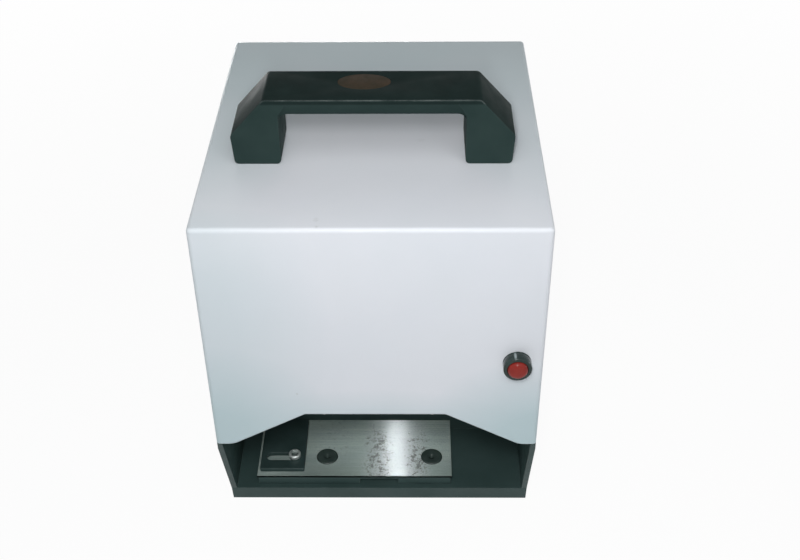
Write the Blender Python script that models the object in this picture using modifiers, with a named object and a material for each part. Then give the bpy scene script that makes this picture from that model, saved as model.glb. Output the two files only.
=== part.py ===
"""Electric two-hole paper punching machine, a desk machine with a carrying handle.

Metres, +Z up, +X to the operator's right, the operator stands on the -Y side.
The origin is at the middle of the footprint, on the desk.

A feed motor turns a lead screw through a pair of gears. The screw draws a head
down two guide posts. On the head a tool motor drives two hollow bits through
a pinion and two spindle gears. The bits land on two pads let into a steel table.
"""
import math

import bmesh
import bpy
from mathutils import Matrix, Vector

# Clearances and counts that the whole machine shares
GAP = 0.0003                # between faces that rest on each other
RUNNING_GAP = 0.0003        # round a shaft, a button or a screw in its hole
OVERRUN = 0.006             # how far a cutter runs past the face that it opens
EMBED = 0.0008              # how deep a joined form starts inside its carrier
FINE_STEPS = 24             # round things that show
ROUND_STEPS = 16
SMALL_STEPS = 12
SCREW_STEPS = 8
FILLET_STEPS = 3
SLOT_STEPS = 2
FLANK_SHARES = (0.5, 1)     # points of a gear's flank between its base circle and its tip
SLOT_END_SHARE = 0.98       # end radius over half width, so that no two points meet

# Cover, a box folded from white painted sheet
COVER_WIDTH = 0.2233
COVER_DEPTH = 0.255
COVER_TOP = 0.2728          # above the desk
COVER_EDGE = 0.0903         # lower edge above the desk
COVER_SHEET = 0.0015
COVER_BEND = 0.0025         # outer radius of its folds
COVER_BEND_STEPS = 3
NOTCH_HEIGHT = 0.0288       # raised middle of the front's lower edge
NOTCH_TOP_HALF = 0.048
NOTCH_FOOT_HALF = 0.0995
NOTCH_TOP_BEND = 0.004
NOTCH_FOOT_BEND = 0.014
VENT_COUNT = 7
VENT_WIDTH = 0.003
VENT_HEIGHT = 0.036
VENT_PITCH = 0.009
VENT_BELOW_TOP = 0.055      # middle of the slots below the cover's top

# Base housing, black
BASE_WALL = 0.004
BASE_LIFT = 0.0008          # shadow gap under its walls
LIP_TOP = 0.0144
LIP_BACK_TOP = 0.0280       # lip behind the cover's front, at its top edge
LIP_BACK_BOTTOM = 0.0305
DECK_THICK = 0.0025
THROAT_DEPTH = 0.0915       # throat's rear wall behind the cover's front
THROAT_WALL = 0.0025
SKIRT_RISE = 0.0004         # skirt's top above the notch
BOTTOM_PLATE_LIFT = 0.0040
BOTTOM_PLATE_THICK = 0.0015
CEILING_THICK = 0.002
CEILING_TAIL = 0.003        # ceiling behind the throat's rear wall
CEILING_HOLE_CLEAR = 0.003  # round a chuck, where it passes the ceiling

# Rubber feet
FOOT_RADIUS = 0.011
FOOT_TAPER = 0.001
FOOT_INSET_X = 0.022
FOOT_INSET_FRONT = 0.058
FOOT_INSET_REAR = 0.024

# Side screws of the cover
COVER_SCREW_SHANK = 0.0017
COVER_SCREW_HEAD = 0.0037
COVER_SCREW_HEAD_HIGH = 0.0024
COVER_SCREW_CROWN_SHARE = 0.62          # flat of its head over the head's radius
COVER_SCREW_RIM_SHARE = 0.45            # straight rim over the head's height
COVER_SCREW_LENGTH = 0.0075
COVER_SCREW_ABOVE_EDGE = 0.0125
COVER_SCREW_FRONT = 0.040
COVER_SCREW_REAR = 0.205

# Table with its steel plate and pads
TABLE_TOP = 0.0237
TABLE_PLATE_THICK = 0.0015
TABLE_FRONT = 0.0315
TABLE_RIGHT = 0.055
TABLE_LEFT_INSET = 0.01565  # its left end inside the left cheek
TABLE_SETBACK = 0.0008      # block's edges behind the plate's
FINGER_NOTCH_WIDTH = 0.029
FINGER_NOTCH_HEIGHT = 0.005
FINGER_NOTCH_DEPTH = 0.012
PITCH = 0.080               # between the two holes that it punches
PAD_BACK = 0.0516           # hole line behind the cover's front
PAD_RADIUS = 0.008
PAD_SEAT = 0.0042           # counterbore in the block
PAD_PROUD = 0.0008
PAD_DISH = 0.0005
PAD_DISH_RADIUS = 0.0032

# Side guide with its clamp screw
GUIDE_LEFT_INSET = 0.0019   # its left end inside the plate's
GUIDE_RIGHT = 0.0565
GUIDE_FRONT = 0.0355
GUIDE_REAR = 0.0880
GUIDE_HEIGHT = 0.0035
GUIDE_EDGE = 0.0006
SLOT_BACK = 0.0482          # slot's middle line behind the cover's front
SLOT_WIDTH = 0.0075
SLOT_LENGTH_SHARE = 0.75    # of the guide's width
CLAMP_HEAD_RADIUS = 0.0045
CLAMP_HEAD_HEIGHT = 0.0050
CLAMP_SHANK_RADIUS = 0.0025
CLAMP_DEPTH = 0.0055        # thread's length below the table's top

# Carrying handle, a bridge whose bar leans in below its front and rear faces
HANDLE_FRONT = 0.0744
HANDLE_DEPTH = 0.0398
HANDLE_HEIGHT = 0.0467
HANDLE_FOOT_HALF = 0.0903
HANDLE_SHOULDER_HALF = 0.0917
HANDLE_SHOULDER_RISE = 0.0213
HANDLE_TOP_HALF = 0.0690
HANDLE_OPENING_HALF = 0.060
HANDLE_BAR_UNDERSIDE = 0.0354
HANDLE_BAR_FACE = 0.0028    # upright part of the bar's front and rear faces
HANDLE_BAR_LEAN = 0.0030    # how far they lean in below it
HANDLE_LEAN_INSET = 0.0055  # upper ends of the leaning faces inside the opening's
HANDLE_CHAMFER = 0.0009
HANDLE_INNER_CHAMFER_SHARE = 0.6
HANDLE_INNER_RADIUS = 0.006
HANDLE_TOP_RADIUS = 0.004
HANDLE_SCREW_HALF = 0.0755
HANDLE_SCREW_SHANK = 0.0022
HANDLE_SCREW_LENGTH = 0.016
HANDLE_SCREW_HEAD = 0.0048
HANDLE_SCREW_HEAD_HIGH = 0.0032
HANDLE_SCREW_CROWN_SHARE = 0.7
HANDLE_SCREW_RIM_SHARE = 0.6

# Start button
BUTTON_INSET = 0.01755      # its middle inside the cover's right side
BUTTON_Z = 0.1674
BUTTON_BEZEL_RADIUS = 0.0094
BUTTON_BEZEL_PROUD = 0.0082
BUTTON_BEZEL_EDGE = 0.0012
BEZEL_ROUND_SHARES = (0.3, 0.6)         # of its edge: outside round, inside chamfer
BUTTON_BARREL_RADIUS = 0.0077
BUTTON_BARREL_LENGTH = 0.021
BUTTON_CAP_RADIUS = 0.0066
BUTTON_CAP_PROUD = 0.0024   # cap's crown in front of the bezel
BUTTON_CAP_CROWN = 0.0012
CAP_CROWN_SHARES = ((0.45, 0.15), (0.80, 0.45))   # of its radius, and of its crown's drop
BUTTON_CAP_LENGTH = 0.016
BUTTON_STEM_RADIUS = 0.0030
BUTTON_STEM_IN_BLOCK = 0.004
BUTTON_TRAVEL = 0.0030
BUTTON_NUT_RADIUS = 0.0112
BUTTON_NUT_THICK = 0.004
BUTTON_NUT_SIDES = 6
BUTTON_BLOCK_SIZE = 0.018
BUTTON_BLOCK_DEPTH = 0.017
BUTTON_BLOCK_CHAMFER = 0.0015

# Mains inlet and power switch in the base's rear wall
INLET_X = 0.060
SWITCH_X = 0.020
REAR_FITTING_Z = 0.046
INLET_FLANGE_WIDTH = 0.0305
INLET_FLANGE_HEIGHT = 0.0235
INLET_BODY_WIDTH = 0.0270
INLET_BODY_HEIGHT = 0.0198
INLET_FLANGE_THICK = 0.002
INLET_BODY_DEPTH = 0.020
INLET_RECESS_WIDTH = 0.0222
INLET_RECESS_HEIGHT = 0.0150
INLET_RECESS_DEPTH = 0.0160
INLET_CORNER = 0.0040
INLET_PIN_WIDTH = 0.002
INLET_PIN_HEIGHT = 0.004
INLET_PIN_LENGTH = 0.0130
INLET_PIN_SPREAD = 0.007
INLET_PIN_RISE = 0.002
SWITCH_FLANGE_WIDTH = 0.0172
SWITCH_FLANGE_HEIGHT = 0.0285
SWITCH_BODY_WIDTH = 0.0142
SWITCH_BODY_HEIGHT = 0.0252
SWITCH_FLANGE_THICK = 0.0018
SWITCH_BODY_DEPTH = 0.016
SWITCH_FLANGE_CORNER = 0.0015
SWITCH_POCKET_HALF = 0.0108
SWITCH_POCKET_DEPTH = 0.0125
ROCKER_WIDTH = 0.0106
ROCKER_PIVOT_DEPTH = 0.0030
ROCKER_HALF = 0.0090
ROCKER_END = 0.0060         # ends of its face in front of the pivot
ROCKER_MIDDLE = 0.0042      # waist of its face in front of the pivot
ROCKER_TAIL = 0.0060
ROCKER_TAIL_HALF = 0.0030
ROCKER_WAIST_SHARE = 0.86   # half height just behind its pivot, over the half height
ROCKER_TILT = math.radians(10)

# Frame, posts and top plate
FRAME_CLEAR = 0.00565       # between its foot and the base's side walls
FRAME_FRONT = 0.040
FRAME_REAR = 0.150
POST_INSET = 0.032          # a post's middle inside the foot's end
POST_BACK = 0.125           # posts and lead screw behind the cover's front
POST_RADIUS = 0.008
POST_SPIGOT_RADIUS = 0.005
TOP_PLATE_BELOW = 0.0228    # its underside below the cover's top
TOP_PLATE_THICK = 0.008
TOP_PLATE_MARGIN = 0.014
TOP_PLATE_TAIL_SHARE = 1.25 # half width of the plate's tail over the feed motor's radius
POST_STUD_LENGTH = 0.008    # threaded end above the top plate
POST_NUT_RADIUS = 0.0095
POST_NUT_THICK = 0.0062

# Feed drive
FEED_MODULE = 0.0015
PINION_TEETH = 14
GEAR_TEETH = 26
GEAR_THICK = 0.0055
TOOTH_BACKLASH = 0.0004
PRESSURE_ANGLE = math.radians(20)
DEDENDUM_SHARE = 1.25       # root depth below the pitch circle, over the module
SCREW_RADIUS = 0.0065
SCREW_JOURNAL_RADIUS = 0.0045
SCREW_BEARING_RADIUS = 0.011
BEARING_FLANGE_RADIUS = 0.0135
BEARING_FLANGE_THICK = 0.0015
GEAR_HUB_RADIUS = 0.0085
GEAR_HUB_HEIGHT = 0.003
FEED_MOTOR_RADIUS = 0.0175
FEED_MOTOR_ABOVE_NUT = 0.0134
FEED_GEARBOX_SHARE = 0.43   # of the motor's length
FEED_CAN_RADIUS = 0.0150
FEED_SHAFT_RADIUS = 0.003
FEED_SHAFT_SEAT_SHARE = 0.18
MOTOR_EDGE = 0.0015
FEED_MOTOR_BORE_CLEAR = 0.001

# Head
HEAD_Z = 0.169              # underside of its gear case, at rest
HEAD_STROKE = 0.046
CASE_FLOOR = 0.008
CASE_WALL = 0.004
CASE_CLEAR = 0.002          # between a gear's tips and the case
CASE_CORNER = 0.012
HEAD_PLATE_THICK = 0.008
SLEEVE_RADIUS = 0.014
SLEEVE_BELOW = 0.026
SLEEVE_ABOVE = 0.030
BUSH_RADIUS = 0.0105
BUSH_FLANGE_RADIUS = 0.0132
BUSH_FLANGE_THICK = 0.0020
NUT_BOSS_RADIUS = 0.016
NUT_BOSS_BELOW = 0.010
NUT_RADIUS = 0.0105
NUT_FLANGE_RADIUS = 0.0145
NUT_FLANGE_THICK = 0.003
ARM_HALF = 0.010            # half width of each arm between case and sleeve
ARM_RIB_THICK = 0.005
WINDOW_MARGIN = 0.005       # web left round a sleeve or the nut's boss

# Tool drive
TOOL_MODULE = PITCH / (GEAR_TEETH + PINION_TEETH)
TOOL_GEAR_THICK = 0.008
TOOL_GEAR_CLEAR = 0.002     # under and above the gears in their case
TOOL_HUB_RADIUS = 0.011
TOOL_HUB_HEIGHT = 0.0015
TOOL_MOTOR_RADIUS = 0.0225
TOOL_MOTOR_BELOW = 0.0142   # its cap below the cover's top
TOOL_MOTOR_NOSE_RADIUS = 0.0085
TOOL_MOTOR_NOSE_LENGTH = 0.0042
TOOL_MOTOR_CAP_RADIUS = 0.0095
TOOL_MOTOR_CAP_HEIGHT = 0.003
TOOL_SHAFT_RADIUS = 0.003
TOOL_SHAFT_SEAT_SHARE = 0.24    # of the motor's length
BRUSH_SHARE = 0.9           # height of the brush caps over the motor length
BRUSH_HALF = 0.0045
BRUSH_PROUD = 0.0025

# Spindles, bearings and hollow bits
SPINDLE_RADIUS = 0.006
SPINDLE_BORE = 0.0041
SPINDLE_ABOVE_PLATE = 0.006
CHUCK_RADIUS = 0.0085
CHUCK_NOSE_RADIUS = 0.0065
CHUCK_NOSE_LENGTH = 0.008
CHUCK_SHOULDER = 0.0015     # between the chuck and its bearing
BALL_BEARING_RADIUS = 0.011
BALL_BEARING_WIDTH = 0.007
BIT_RADIUS = 0.0035
BIT_BORE = 0.0026
BIT_EDGE = 0.0029           # outer radius at its cutting edge
BIT_EDGE_BORE = 0.00265
BIT_TAPER = 0.006
BIT_IN_CHUCK = 0.028
BIT_ABOVE_PAD = 0.0008      # left above the pad at the end of the stroke

# Chip cups on the head, round the spindles' open ends
CUP_RADIUS = 0.0145
CUP_WALL = 0.0014
CUP_HEIGHT = 0.016
CUP_NECK_RISE = 0.0045

# Control board, transformer and limit switches
BOARD_CLEAR = 0.00965       # between its left edge and the left cheek
BOARD_RIGHT = 0.018
BOARD_FRONT = 0.166
BOARD_REAR = 0.240
BOARD_THICK = 0.0016
BOARD_LIFT = 0.007
BOARD_LEG = 0.006
BOARD_LEG_INSET = 0.006
RELAY_SIZE = (0.019, 0.0155, 0.0150)
RELAY_SHARES = ((0.22, 0.30), (0.22, 0.62))
CAPACITOR_RADIUS = 0.008
CAPACITOR_HEIGHT = 0.022
CAPACITOR_SHARES = (0.62, 0.35)
TERMINAL_SIZE = (0.045, 0.010, 0.0110)
TERMINAL_SHARES = (0.55, 0.88)
TRANSFORMER_X = 0.050
TRANSFORMER_BACK = 0.195
TRANSFORMER_WIDTH = 0.054
TRANSFORMER_HEIGHT = 0.045
TRANSFORMER_STACK = 0.020
WINDOW_WIDTH = 0.009
WINDOW_HEIGHT = 0.027
CENTRE_LEG = 0.018
BOBBIN_CLEAR = 0.0012
BOBBIN_REACH = 0.008
BOBBIN_EDGE = 0.002
RAIL_INSET = 0.01065        # its plate inside the right cheek
RAIL_THICK = 0.002
RAIL_WIDTH = 0.014
RAIL_FOOT = 0.010
RAIL_TAIL = 0.0042          # above the upper switch
RAIL_BACK = 0.110           # clear of the skirt and of the button's block
SWITCH_BLOCK_SIZE = (0.0064, 0.0102, 0.0198)
SWITCH_BLOCK_OFFSET = 0.009
SWITCH_ROLLER = 0.0018

# Where the machine's front lies, so that its footprint is centred on the origin
ROCKER_REACH = (
    ROCKER_END * math.cos(ROCKER_TILT)
    + ROCKER_HALF * math.sin(ROCKER_TILT)
    - ROCKER_PIVOT_DEPTH
)
REAR_PROUD = max(ROCKER_REACH, INLET_FLANGE_THICK + GAP)
FRONT_PROUD = BUTTON_BEZEL_PROUD + BUTTON_CAP_PROUD
FRONT = (FRONT_PROUD - COVER_DEPTH - REAR_PROUD) / 2
REAR = FRONT + COVER_DEPTH

# Heights that several pieces share
COVER_HALF = COVER_WIDTH / 2
SHOULDER = COVER_EDGE - GAP
SKIRT_TOP = COVER_EDGE + NOTCH_HEIGHT + SKIRT_RISE
SKIRT_HALF = COVER_HALF - COVER_SHEET - GAP
INNER_HALF = COVER_HALF - BASE_WALL
TABLE_LEFT = INNER_HALF - TABLE_LEFT_INSET
GUIDE_LEFT = TABLE_LEFT - GUIDE_LEFT_INSET
SLOT_LENGTH = (GUIDE_LEFT - GUIDE_RIGHT) * SLOT_LENGTH_SHARE
BUTTON_X = COVER_HALF - BUTTON_INSET
FRAME_HALF = INNER_HALF - FRAME_CLEAR
POST_X = FRAME_HALF - POST_INSET
BOARD_LEFT = INNER_HALF - BOARD_CLEAR
RAIL_X = INNER_HALF - RAIL_INSET
TOP_PLATE_Z = COVER_TOP - TOP_PLATE_BELOW
BOTTOM_PLATE_TOP = BOTTOM_PLATE_LIFT + BOTTOM_PLATE_THICK
DECK_UNDERSIDE = LIP_TOP - DECK_THICK
FRAME_BOTTOM = BOTTOM_PLATE_TOP + GAP
FRAME_TOP = DECK_UNDERSIDE - GAP
BLOCK_TOP = TABLE_TOP - TABLE_PLATE_THICK - GAP
CEILING_BOTTOM = SKIRT_TOP + GAP
CEILING_TOP = CEILING_BOTTOM + CEILING_THICK
PAD_TOP = TABLE_TOP + PAD_PROUD
SPINDLE_XS = {"left": -PITCH / 2, "right": PITCH / 2}
TOOL_GEAR_TIP = TOOL_MODULE * (GEAR_TEETH / 2 + 1)
FEED_CENTRES = FEED_MODULE * (GEAR_TEETH + PINION_TEETH) / 2
CASE_HALF = PITCH / 2 + TOOL_GEAR_TIP + CASE_CLEAR + CASE_WALL
CASE_REACH = TOOL_GEAR_TIP + CASE_CLEAR + CASE_WALL
CASE_TOP = HEAD_Z + CASE_FLOOR + TOOL_GEAR_THICK + 2 * TOOL_GEAR_CLEAR
HEAD_PLATE_Z = CASE_TOP + GAP
HEAD_PLATE_TOP = HEAD_PLATE_Z + HEAD_PLATE_THICK
SLEEVE_TOP = HEAD_Z + SLEEVE_ABOVE
NUT_FLANGE_TOP = HEAD_Z + CASE_FLOOR + GAP + NUT_FLANGE_THICK
RAIL_TOP = SLEEVE_TOP + SWITCH_BLOCK_OFFSET + SWITCH_BLOCK_SIZE[2] / 2 + RAIL_TAIL
TOOL_GEAR_Z = HEAD_Z + CASE_FLOOR + TOOL_GEAR_CLEAR
FEED_GEAR_Z = TOP_PLATE_Z + TOP_PLATE_THICK + BEARING_FLANGE_THICK + 2 * GAP
BIT_TIP = PAD_TOP + BIT_ABOVE_PAD + HEAD_STROKE
CHUCK_NOSE = BIT_TIP + HEAD_STROKE


def back(distance):
    """Y of a place that far behind the cover's front."""
    return FRONT + distance


# Collections: the machine's parts, and the shapes that cut or join them
for old in list(bpy.data.objects):
    bpy.data.objects.remove(old, do_unlink=True)
PARTS = bpy.data.collections.new("paper_punching_machine")
CUTTERS = bpy.data.collections.new("cutters")
bpy.context.scene.collection.children.link(PARTS)
bpy.context.scene.collection.children.link(CUTTERS)

# How a flat outline lies: its own X and Y, then the way that it is extruded
PLANES = {
    "XY": Matrix(((1, 0, 0), (0, 1, 0), (0, 0, 1))),
    "YZ": Matrix(((0, 0, 1), (1, 0, 0), (0, 1, 0))),
    "XZ": Matrix(((1, 0, 0), (0, 0, -1), (0, 1, 0))),
}
NORMALS = {"XY": Vector((0, 0, 1)), "YZ": Vector((1, 0, 0)), "XZ": Vector((0, 1, 0))}
TURNS = {
    "up": Matrix.Identity(3),
    "down": Matrix.Rotation(math.pi, 3, "X"),
    "front": Matrix.Rotation(math.pi / 2, 3, "X"),
    "rear": Matrix.Rotation(-math.pi / 2, 3, "X"),
    "right": Matrix.Rotation(math.pi / 2, 3, "Y"),
    "left": Matrix.Rotation(-math.pi / 2, 3, "Y"),
}


def material(name, colour, roughness, metallic=0.0):
    """A painted, moulded or bare metal surface."""
    made = bpy.data.materials.new(name)
    made.use_nodes = True
    shader = made.node_tree.nodes["Principled BSDF"]
    shader.inputs["Base Color"].default_value = (*colour, 1)
    shader.inputs["Roughness"].default_value = roughness
    shader.inputs["Metallic"].default_value = metallic
    made.diffuse_color = (*colour, 1)
    return made


WHITE_PAINT = material("white_paint", (0.72, 0.76, 0.80), 0.45)
BLACK_PAINT = material("black_paint", (0.025, 0.035, 0.035), 0.40)
BLACK_PLASTIC = material("black_plastic", (0.018, 0.025, 0.024), 0.35)
RED_PLASTIC = material("red_plastic", (0.42, 0.035, 0.025), 0.30)
RUBBER = material("rubber", (0.02, 0.02, 0.02), 0.85)
STAINLESS = material("stainless_steel", (0.55, 0.57, 0.57), 0.32, 1.0)
BRIGHT_STEEL = material("bright_steel", (0.62, 0.63, 0.64), 0.25, 1.0)
CAST_METAL = material("cast_aluminium", (0.50, 0.51, 0.52), 0.50, 1.0)
BRONZE = material("bronze", (0.55, 0.36, 0.15), 0.35, 1.0)
BOARD_GREEN = material("board_green", (0.02, 0.16, 0.07), 0.45)
LAMINATIONS = material("laminations", (0.16, 0.15, 0.15), 0.55, 0.6)
PAD_PLASTIC = material("pad_plastic", (0.015, 0.02, 0.02), 0.20)


def part(mesh, name, paint=None):
    """A mesh as an object, closed, with its faces pointing out."""
    shape = bmesh.new()
    shape.from_mesh(mesh)
    bmesh.ops.remove_doubles(shape, verts=shape.verts, dist=GAP / 100)
    bmesh.ops.recalc_face_normals(shape, faces=shape.faces)
    shape.to_mesh(mesh)
    shape.free()
    made = bpy.data.objects.new(name, mesh)
    PARTS.objects.link(made)
    if paint:
        mesh.materials.clear()
        mesh.materials.append(paint)
    mesh.shade_smooth()
    mesh.set_sharp_from_angle(angle=math.radians(35))
    return made


def evaluated_mesh(source):
    """The mesh of an object with its modifiers, in world space; the object is removed."""
    bpy.context.view_layer.update()
    graph = bpy.context.evaluated_depsgraph_get()
    mesh = bpy.data.meshes.new_from_object(source.evaluated_get(graph), depsgraph=graph)
    mesh.transform(source.matrix_world)
    bpy.data.objects.remove(source, do_unlink=True)
    return mesh


def box(name, low, high, paint=None):
    """A block between two corners."""
    shape = bmesh.new()
    bmesh.ops.create_cube(shape, size=1)
    middle = (Vector(low) + Vector(high)) / 2
    size = Vector(high) - Vector(low)
    bmesh.ops.scale(shape, vec=size, verts=shape.verts)
    bmesh.ops.translate(shape, vec=middle, verts=shape.verts)
    mesh = bpy.data.meshes.new(name)
    shape.to_mesh(mesh)
    shape.free()
    return part(mesh, name, paint)


def outline_part(name, loops, low, high, plane="XY", paint=None):
    """Flat outlines, the inner ones as holes, extruded from low to high."""
    curve = bpy.data.curves.new(name, "CURVE")
    curve.dimensions = "2D"
    curve.fill_mode = "BOTH"
    curve.extrude = (high - low) / 2
    for loop in loops:
        spline = curve.splines.new("POLY")
        spline.points.add(len(loop) - 1)
        for point, place in zip(spline.points, loop):
            point.co = (place[0], place[1], 0, 1)
        spline.use_cyclic_u = True
    flat = bpy.data.objects.new(name, curve)
    PARTS.objects.link(flat)
    middle = Matrix.Translation(NORMALS[plane] * (low + high) / 2)
    flat.matrix_world = middle @ PLANES[plane].to_4x4()
    return part(evaluated_mesh(flat), name, paint)


def turned_part(name, profile, at, way="up", steps=ROUND_STEPS, closed=False, paint=None):
    """A profile of (radius, height) turned about an axis through a place.

    The profile runs down its outer side. A closed one makes a ring or a tube.
    """
    mesh = bpy.data.meshes.new(name)
    count = len(profile)
    links = [(index, index + 1) for index in range(count - 1)]
    if closed:
        links.append((count - 1, 0))
    mesh.from_pydata([(radius, 0, height) for radius, height in profile], links, [])
    lathe = bpy.data.objects.new(name, mesh)
    PARTS.objects.link(lathe)
    screw = lathe.modifiers.new("turn", "SCREW")
    screw.steps = steps
    screw.render_steps = steps
    screw.use_merge_vertices = True
    screw.merge_threshold = GAP / 100
    lathe.matrix_world = Matrix.Translation(Vector(at)) @ TURNS[way].to_4x4()
    return part(evaluated_mesh(lathe), name, paint)


def tube(name, outer, inner, low, high, at, way="up", steps=ROUND_STEPS, paint=None):
    """A plain tube or ring between two heights on its axis."""
    profile = [(outer, high), (outer, low), (inner, low), (inner, high)]
    return turned_part(name, profile, at, way, steps, True, paint)


def rod(name, radius, low, high, at, way="up", steps=ROUND_STEPS, paint=None):
    """A plain round bar between two heights on its axis."""
    profile = [(0, high), (radius, high), (radius, low), (0, low)]
    return turned_part(name, profile, at, way, steps, False, paint)


def boolean(target, tools, operation, solver):
    """Cut the tools out of a part, or join them to it."""
    for tool in tools:
        PARTS.objects.unlink(tool)
        CUTTERS.objects.link(tool)
        tool.hide_render = True
        tool.display_type = "WIRE"
        step = target.modifiers.new(operation.lower(), "BOOLEAN")
        step.operation = operation
        step.solver = solver
        step.object = tool
    return target


def cut(target, *tools, solver="EXACT"):
    """Cut shapes out of a part."""
    return boolean(target, tools, "DIFFERENCE", solver)


def join(target, *tools, solver="EXACT"):
    """Join shapes to a part."""
    return boolean(target, tools, "UNION", solver)


def pivot(made, at):
    """Put a moving part's origin on its joint's axis."""
    offset = Vector(at)
    made.data.transform(Matrix.Translation(-offset))
    made.location = offset
    return made


def circle(radius, centre=(0, 0), steps=ROUND_STEPS):
    """Points round a circle."""
    turn = 2 * math.pi / steps
    return [
        (centre[0] + radius * math.cos(index * turn), centre[1] + radius * math.sin(index * turn))
        for index in range(steps)
    ]


def filleted(corners, radii, steps=FILLET_STEPS):
    """A closed outline whose corners are rounded, each by its own radius."""
    outline = []
    for index, (corner, radius) in enumerate(zip(corners, radii)):
        here = Vector(corner)
        if radius == 0:
            outline.append(tuple(here))
            continue
        before = (Vector(corners[index - 1]) - here).normalized()
        after = (Vector(corners[(index + 1) % len(corners)]) - here).normalized()
        half = before.angle(after) / 2
        reach = radius / math.tan(half)
        centre = here + (before + after).normalized() * (radius / math.sin(half))
        first = here + before * reach - centre
        last = here + after * reach - centre
        start = math.atan2(first.y, first.x)
        sweep = math.atan2(last.y, last.x) - start
        sweep = math.remainder(sweep, 2 * math.pi)
        for step in range(steps + 1):
            angle = start + sweep * step / steps
            outline.append((centre.x + radius * math.cos(angle), centre.y + radius * math.sin(angle)))
    return outline


def rectangle(low_x, high_x, low_y, high_y, radius=0, steps=FILLET_STEPS):
    """A rectangle's outline, with round corners if it has a radius."""
    corners = [(low_x, low_y), (high_x, low_y), (high_x, high_y), (low_x, high_y)]
    return filleted(corners, [radius] * len(corners), steps)


def slot_outline(centre, length, width, along_x=True):
    """An oblong hole with round ends, of an overall length."""
    half_long = length / 2
    half_wide = width / 2
    reach = (half_long, half_wide) if along_x else (half_wide, half_long)
    return rectangle(
        centre[0] - reach[0], centre[0] + reach[0],
        centre[1] - reach[1], centre[1] + reach[1],
        half_wide * SLOT_END_SHARE, SLOT_STEPS,
    )


def involute(angle):
    """The involute function, tan(angle) - angle."""
    return math.tan(angle) - angle


def gear_outline(teeth, module, centre, first_tooth):
    """The outline of a spur gear with involute flanks, one tooth at first_tooth."""
    pitch_radius = module * teeth / 2
    base_radius = pitch_radius * math.cos(PRESSURE_ANGLE)
    tip_radius = pitch_radius + module
    root_radius = pitch_radius - module * DEDENDUM_SHARE
    half_tooth = math.pi / (2 * teeth) - TOOTH_BACKLASH / (4 * pitch_radius)
    half_base = half_tooth + involute(PRESSURE_ANGLE)
    flank = [(root_radius, half_base)]
    for share in FLANK_SHARES:
        radius = base_radius + (tip_radius - base_radius) * share
        rolled = math.acos(base_radius / radius)
        flank.append((radius, half_base - involute(rolled)))
    outline = []
    for tooth in range(teeth):
        middle = first_tooth + 2 * math.pi * tooth / teeth
        for radius, offset in flank:
            outline.append((radius, middle - offset))
        for radius, offset in reversed(flank):
            outline.append((radius, middle + offset))
    return [
        (centre[0] + radius * math.cos(angle), centre[1] + radius * math.sin(angle))
        for radius, angle in outline
    ]


def bevelled(made, width, steps=1, angle=math.radians(50)):
    """Round or chamfer a part's sharp edges."""
    edge = made.modifiers.new("edges", "BEVEL")
    edge.width = width
    edge.segments = steps
    edge.limit_method = "ANGLE"
    edge.angle_limit = angle
    return made


def make_cover():
    """The white box: an open shell, its front notched, with holes for what it carries."""
    shape = bmesh.new()
    bmesh.ops.create_cube(shape, size=1)
    size = (COVER_WIDTH, COVER_DEPTH, COVER_TOP - COVER_EDGE)
    middle = (0, back(COVER_DEPTH / 2), (COVER_TOP + COVER_EDGE) / 2)
    bmesh.ops.scale(shape, vec=size, verts=shape.verts)
    bmesh.ops.translate(shape, vec=middle, verts=shape.verts)
    floor = [face for face in shape.faces if face.normal.z < 0 and abs(face.normal.z) > 0.9]
    bmesh.ops.delete(shape, geom=floor, context="FACES_ONLY")
    mesh = bpy.data.meshes.new("cover")
    shape.to_mesh(mesh)
    shape.free()
    cover = part(mesh, "cover", WHITE_PAINT)
    bevelled(cover, COVER_BEND, COVER_BEND_STEPS)
    sheet = cover.modifiers.new("sheet", "SOLIDIFY")
    sheet.thickness = COVER_SHEET
    sheet.offset = -1
    sheet.use_even_offset = True

    foot = (NOTCH_FOOT_HALF, COVER_EDGE)
    shoulder = (NOTCH_TOP_HALF, COVER_EDGE + NOTCH_HEIGHT)
    corners = [
        (COVER_HALF, COVER_EDGE), foot, shoulder,
        (-shoulder[0], shoulder[1]), (-foot[0], foot[1]), (-COVER_HALF, COVER_EDGE),
    ]
    radii = [0, NOTCH_FOOT_BEND, NOTCH_TOP_BEND, NOTCH_TOP_BEND, NOTCH_FOOT_BEND, 0]
    arch = filleted(corners, radii)[1:-1]
    arch.append((arch[-1][0], COVER_EDGE - OVERRUN))
    arch.append((arch[0][0], COVER_EDGE - OVERRUN))
    notch = outline_part("notch_cutter", [arch], back(-OVERRUN), back(COVER_SHEET + OVERRUN), "XZ")

    button = rod(
        "button_hole", BUTTON_BARREL_RADIUS + RUNNING_GAP, -OVERRUN, OVERRUN,
        (BUTTON_X, FRONT, BUTTON_Z), "front", FINE_STEPS,
    )
    vents_half = VENT_PITCH * (VENT_COUNT - 1) / 2
    vents = outline_part(
        "vent_cutter",
        [
            slot_outline(
                (VENT_PITCH * index - vents_half, COVER_TOP - VENT_BELOW_TOP),
                VENT_HEIGHT, VENT_WIDTH, False,
            )
            for index in range(VENT_COUNT)
        ],
        REAR - COVER_SHEET - OVERRUN, REAR + OVERRUN, "XZ",
    )
    cut(cover, notch, button, vents)
    for side in (-1, 1):
        screw_hole = rod(
            "handle_screw_hole", HANDLE_SCREW_SHANK + RUNNING_GAP, -OVERRUN, OVERRUN,
            (side * HANDLE_SCREW_HALF, back(HANDLE_FRONT + HANDLE_DEPTH / 2), COVER_TOP),
            steps=SMALL_STEPS,
        )
        cut(cover, screw_hole)
    cut(cover, *side_screw_holes("cover"))
    return cover


def side_screw_places():
    """Where the cover's side screws stand: name, X side, Y."""
    places = []
    for side, sign in (("left", -1), ("right", 1)):
        for end, distance in (("front", COVER_SCREW_FRONT), ("rear", COVER_SCREW_REAR)):
            places.append((f"{side}_{end}", sign, back(distance)))
    return places


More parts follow.
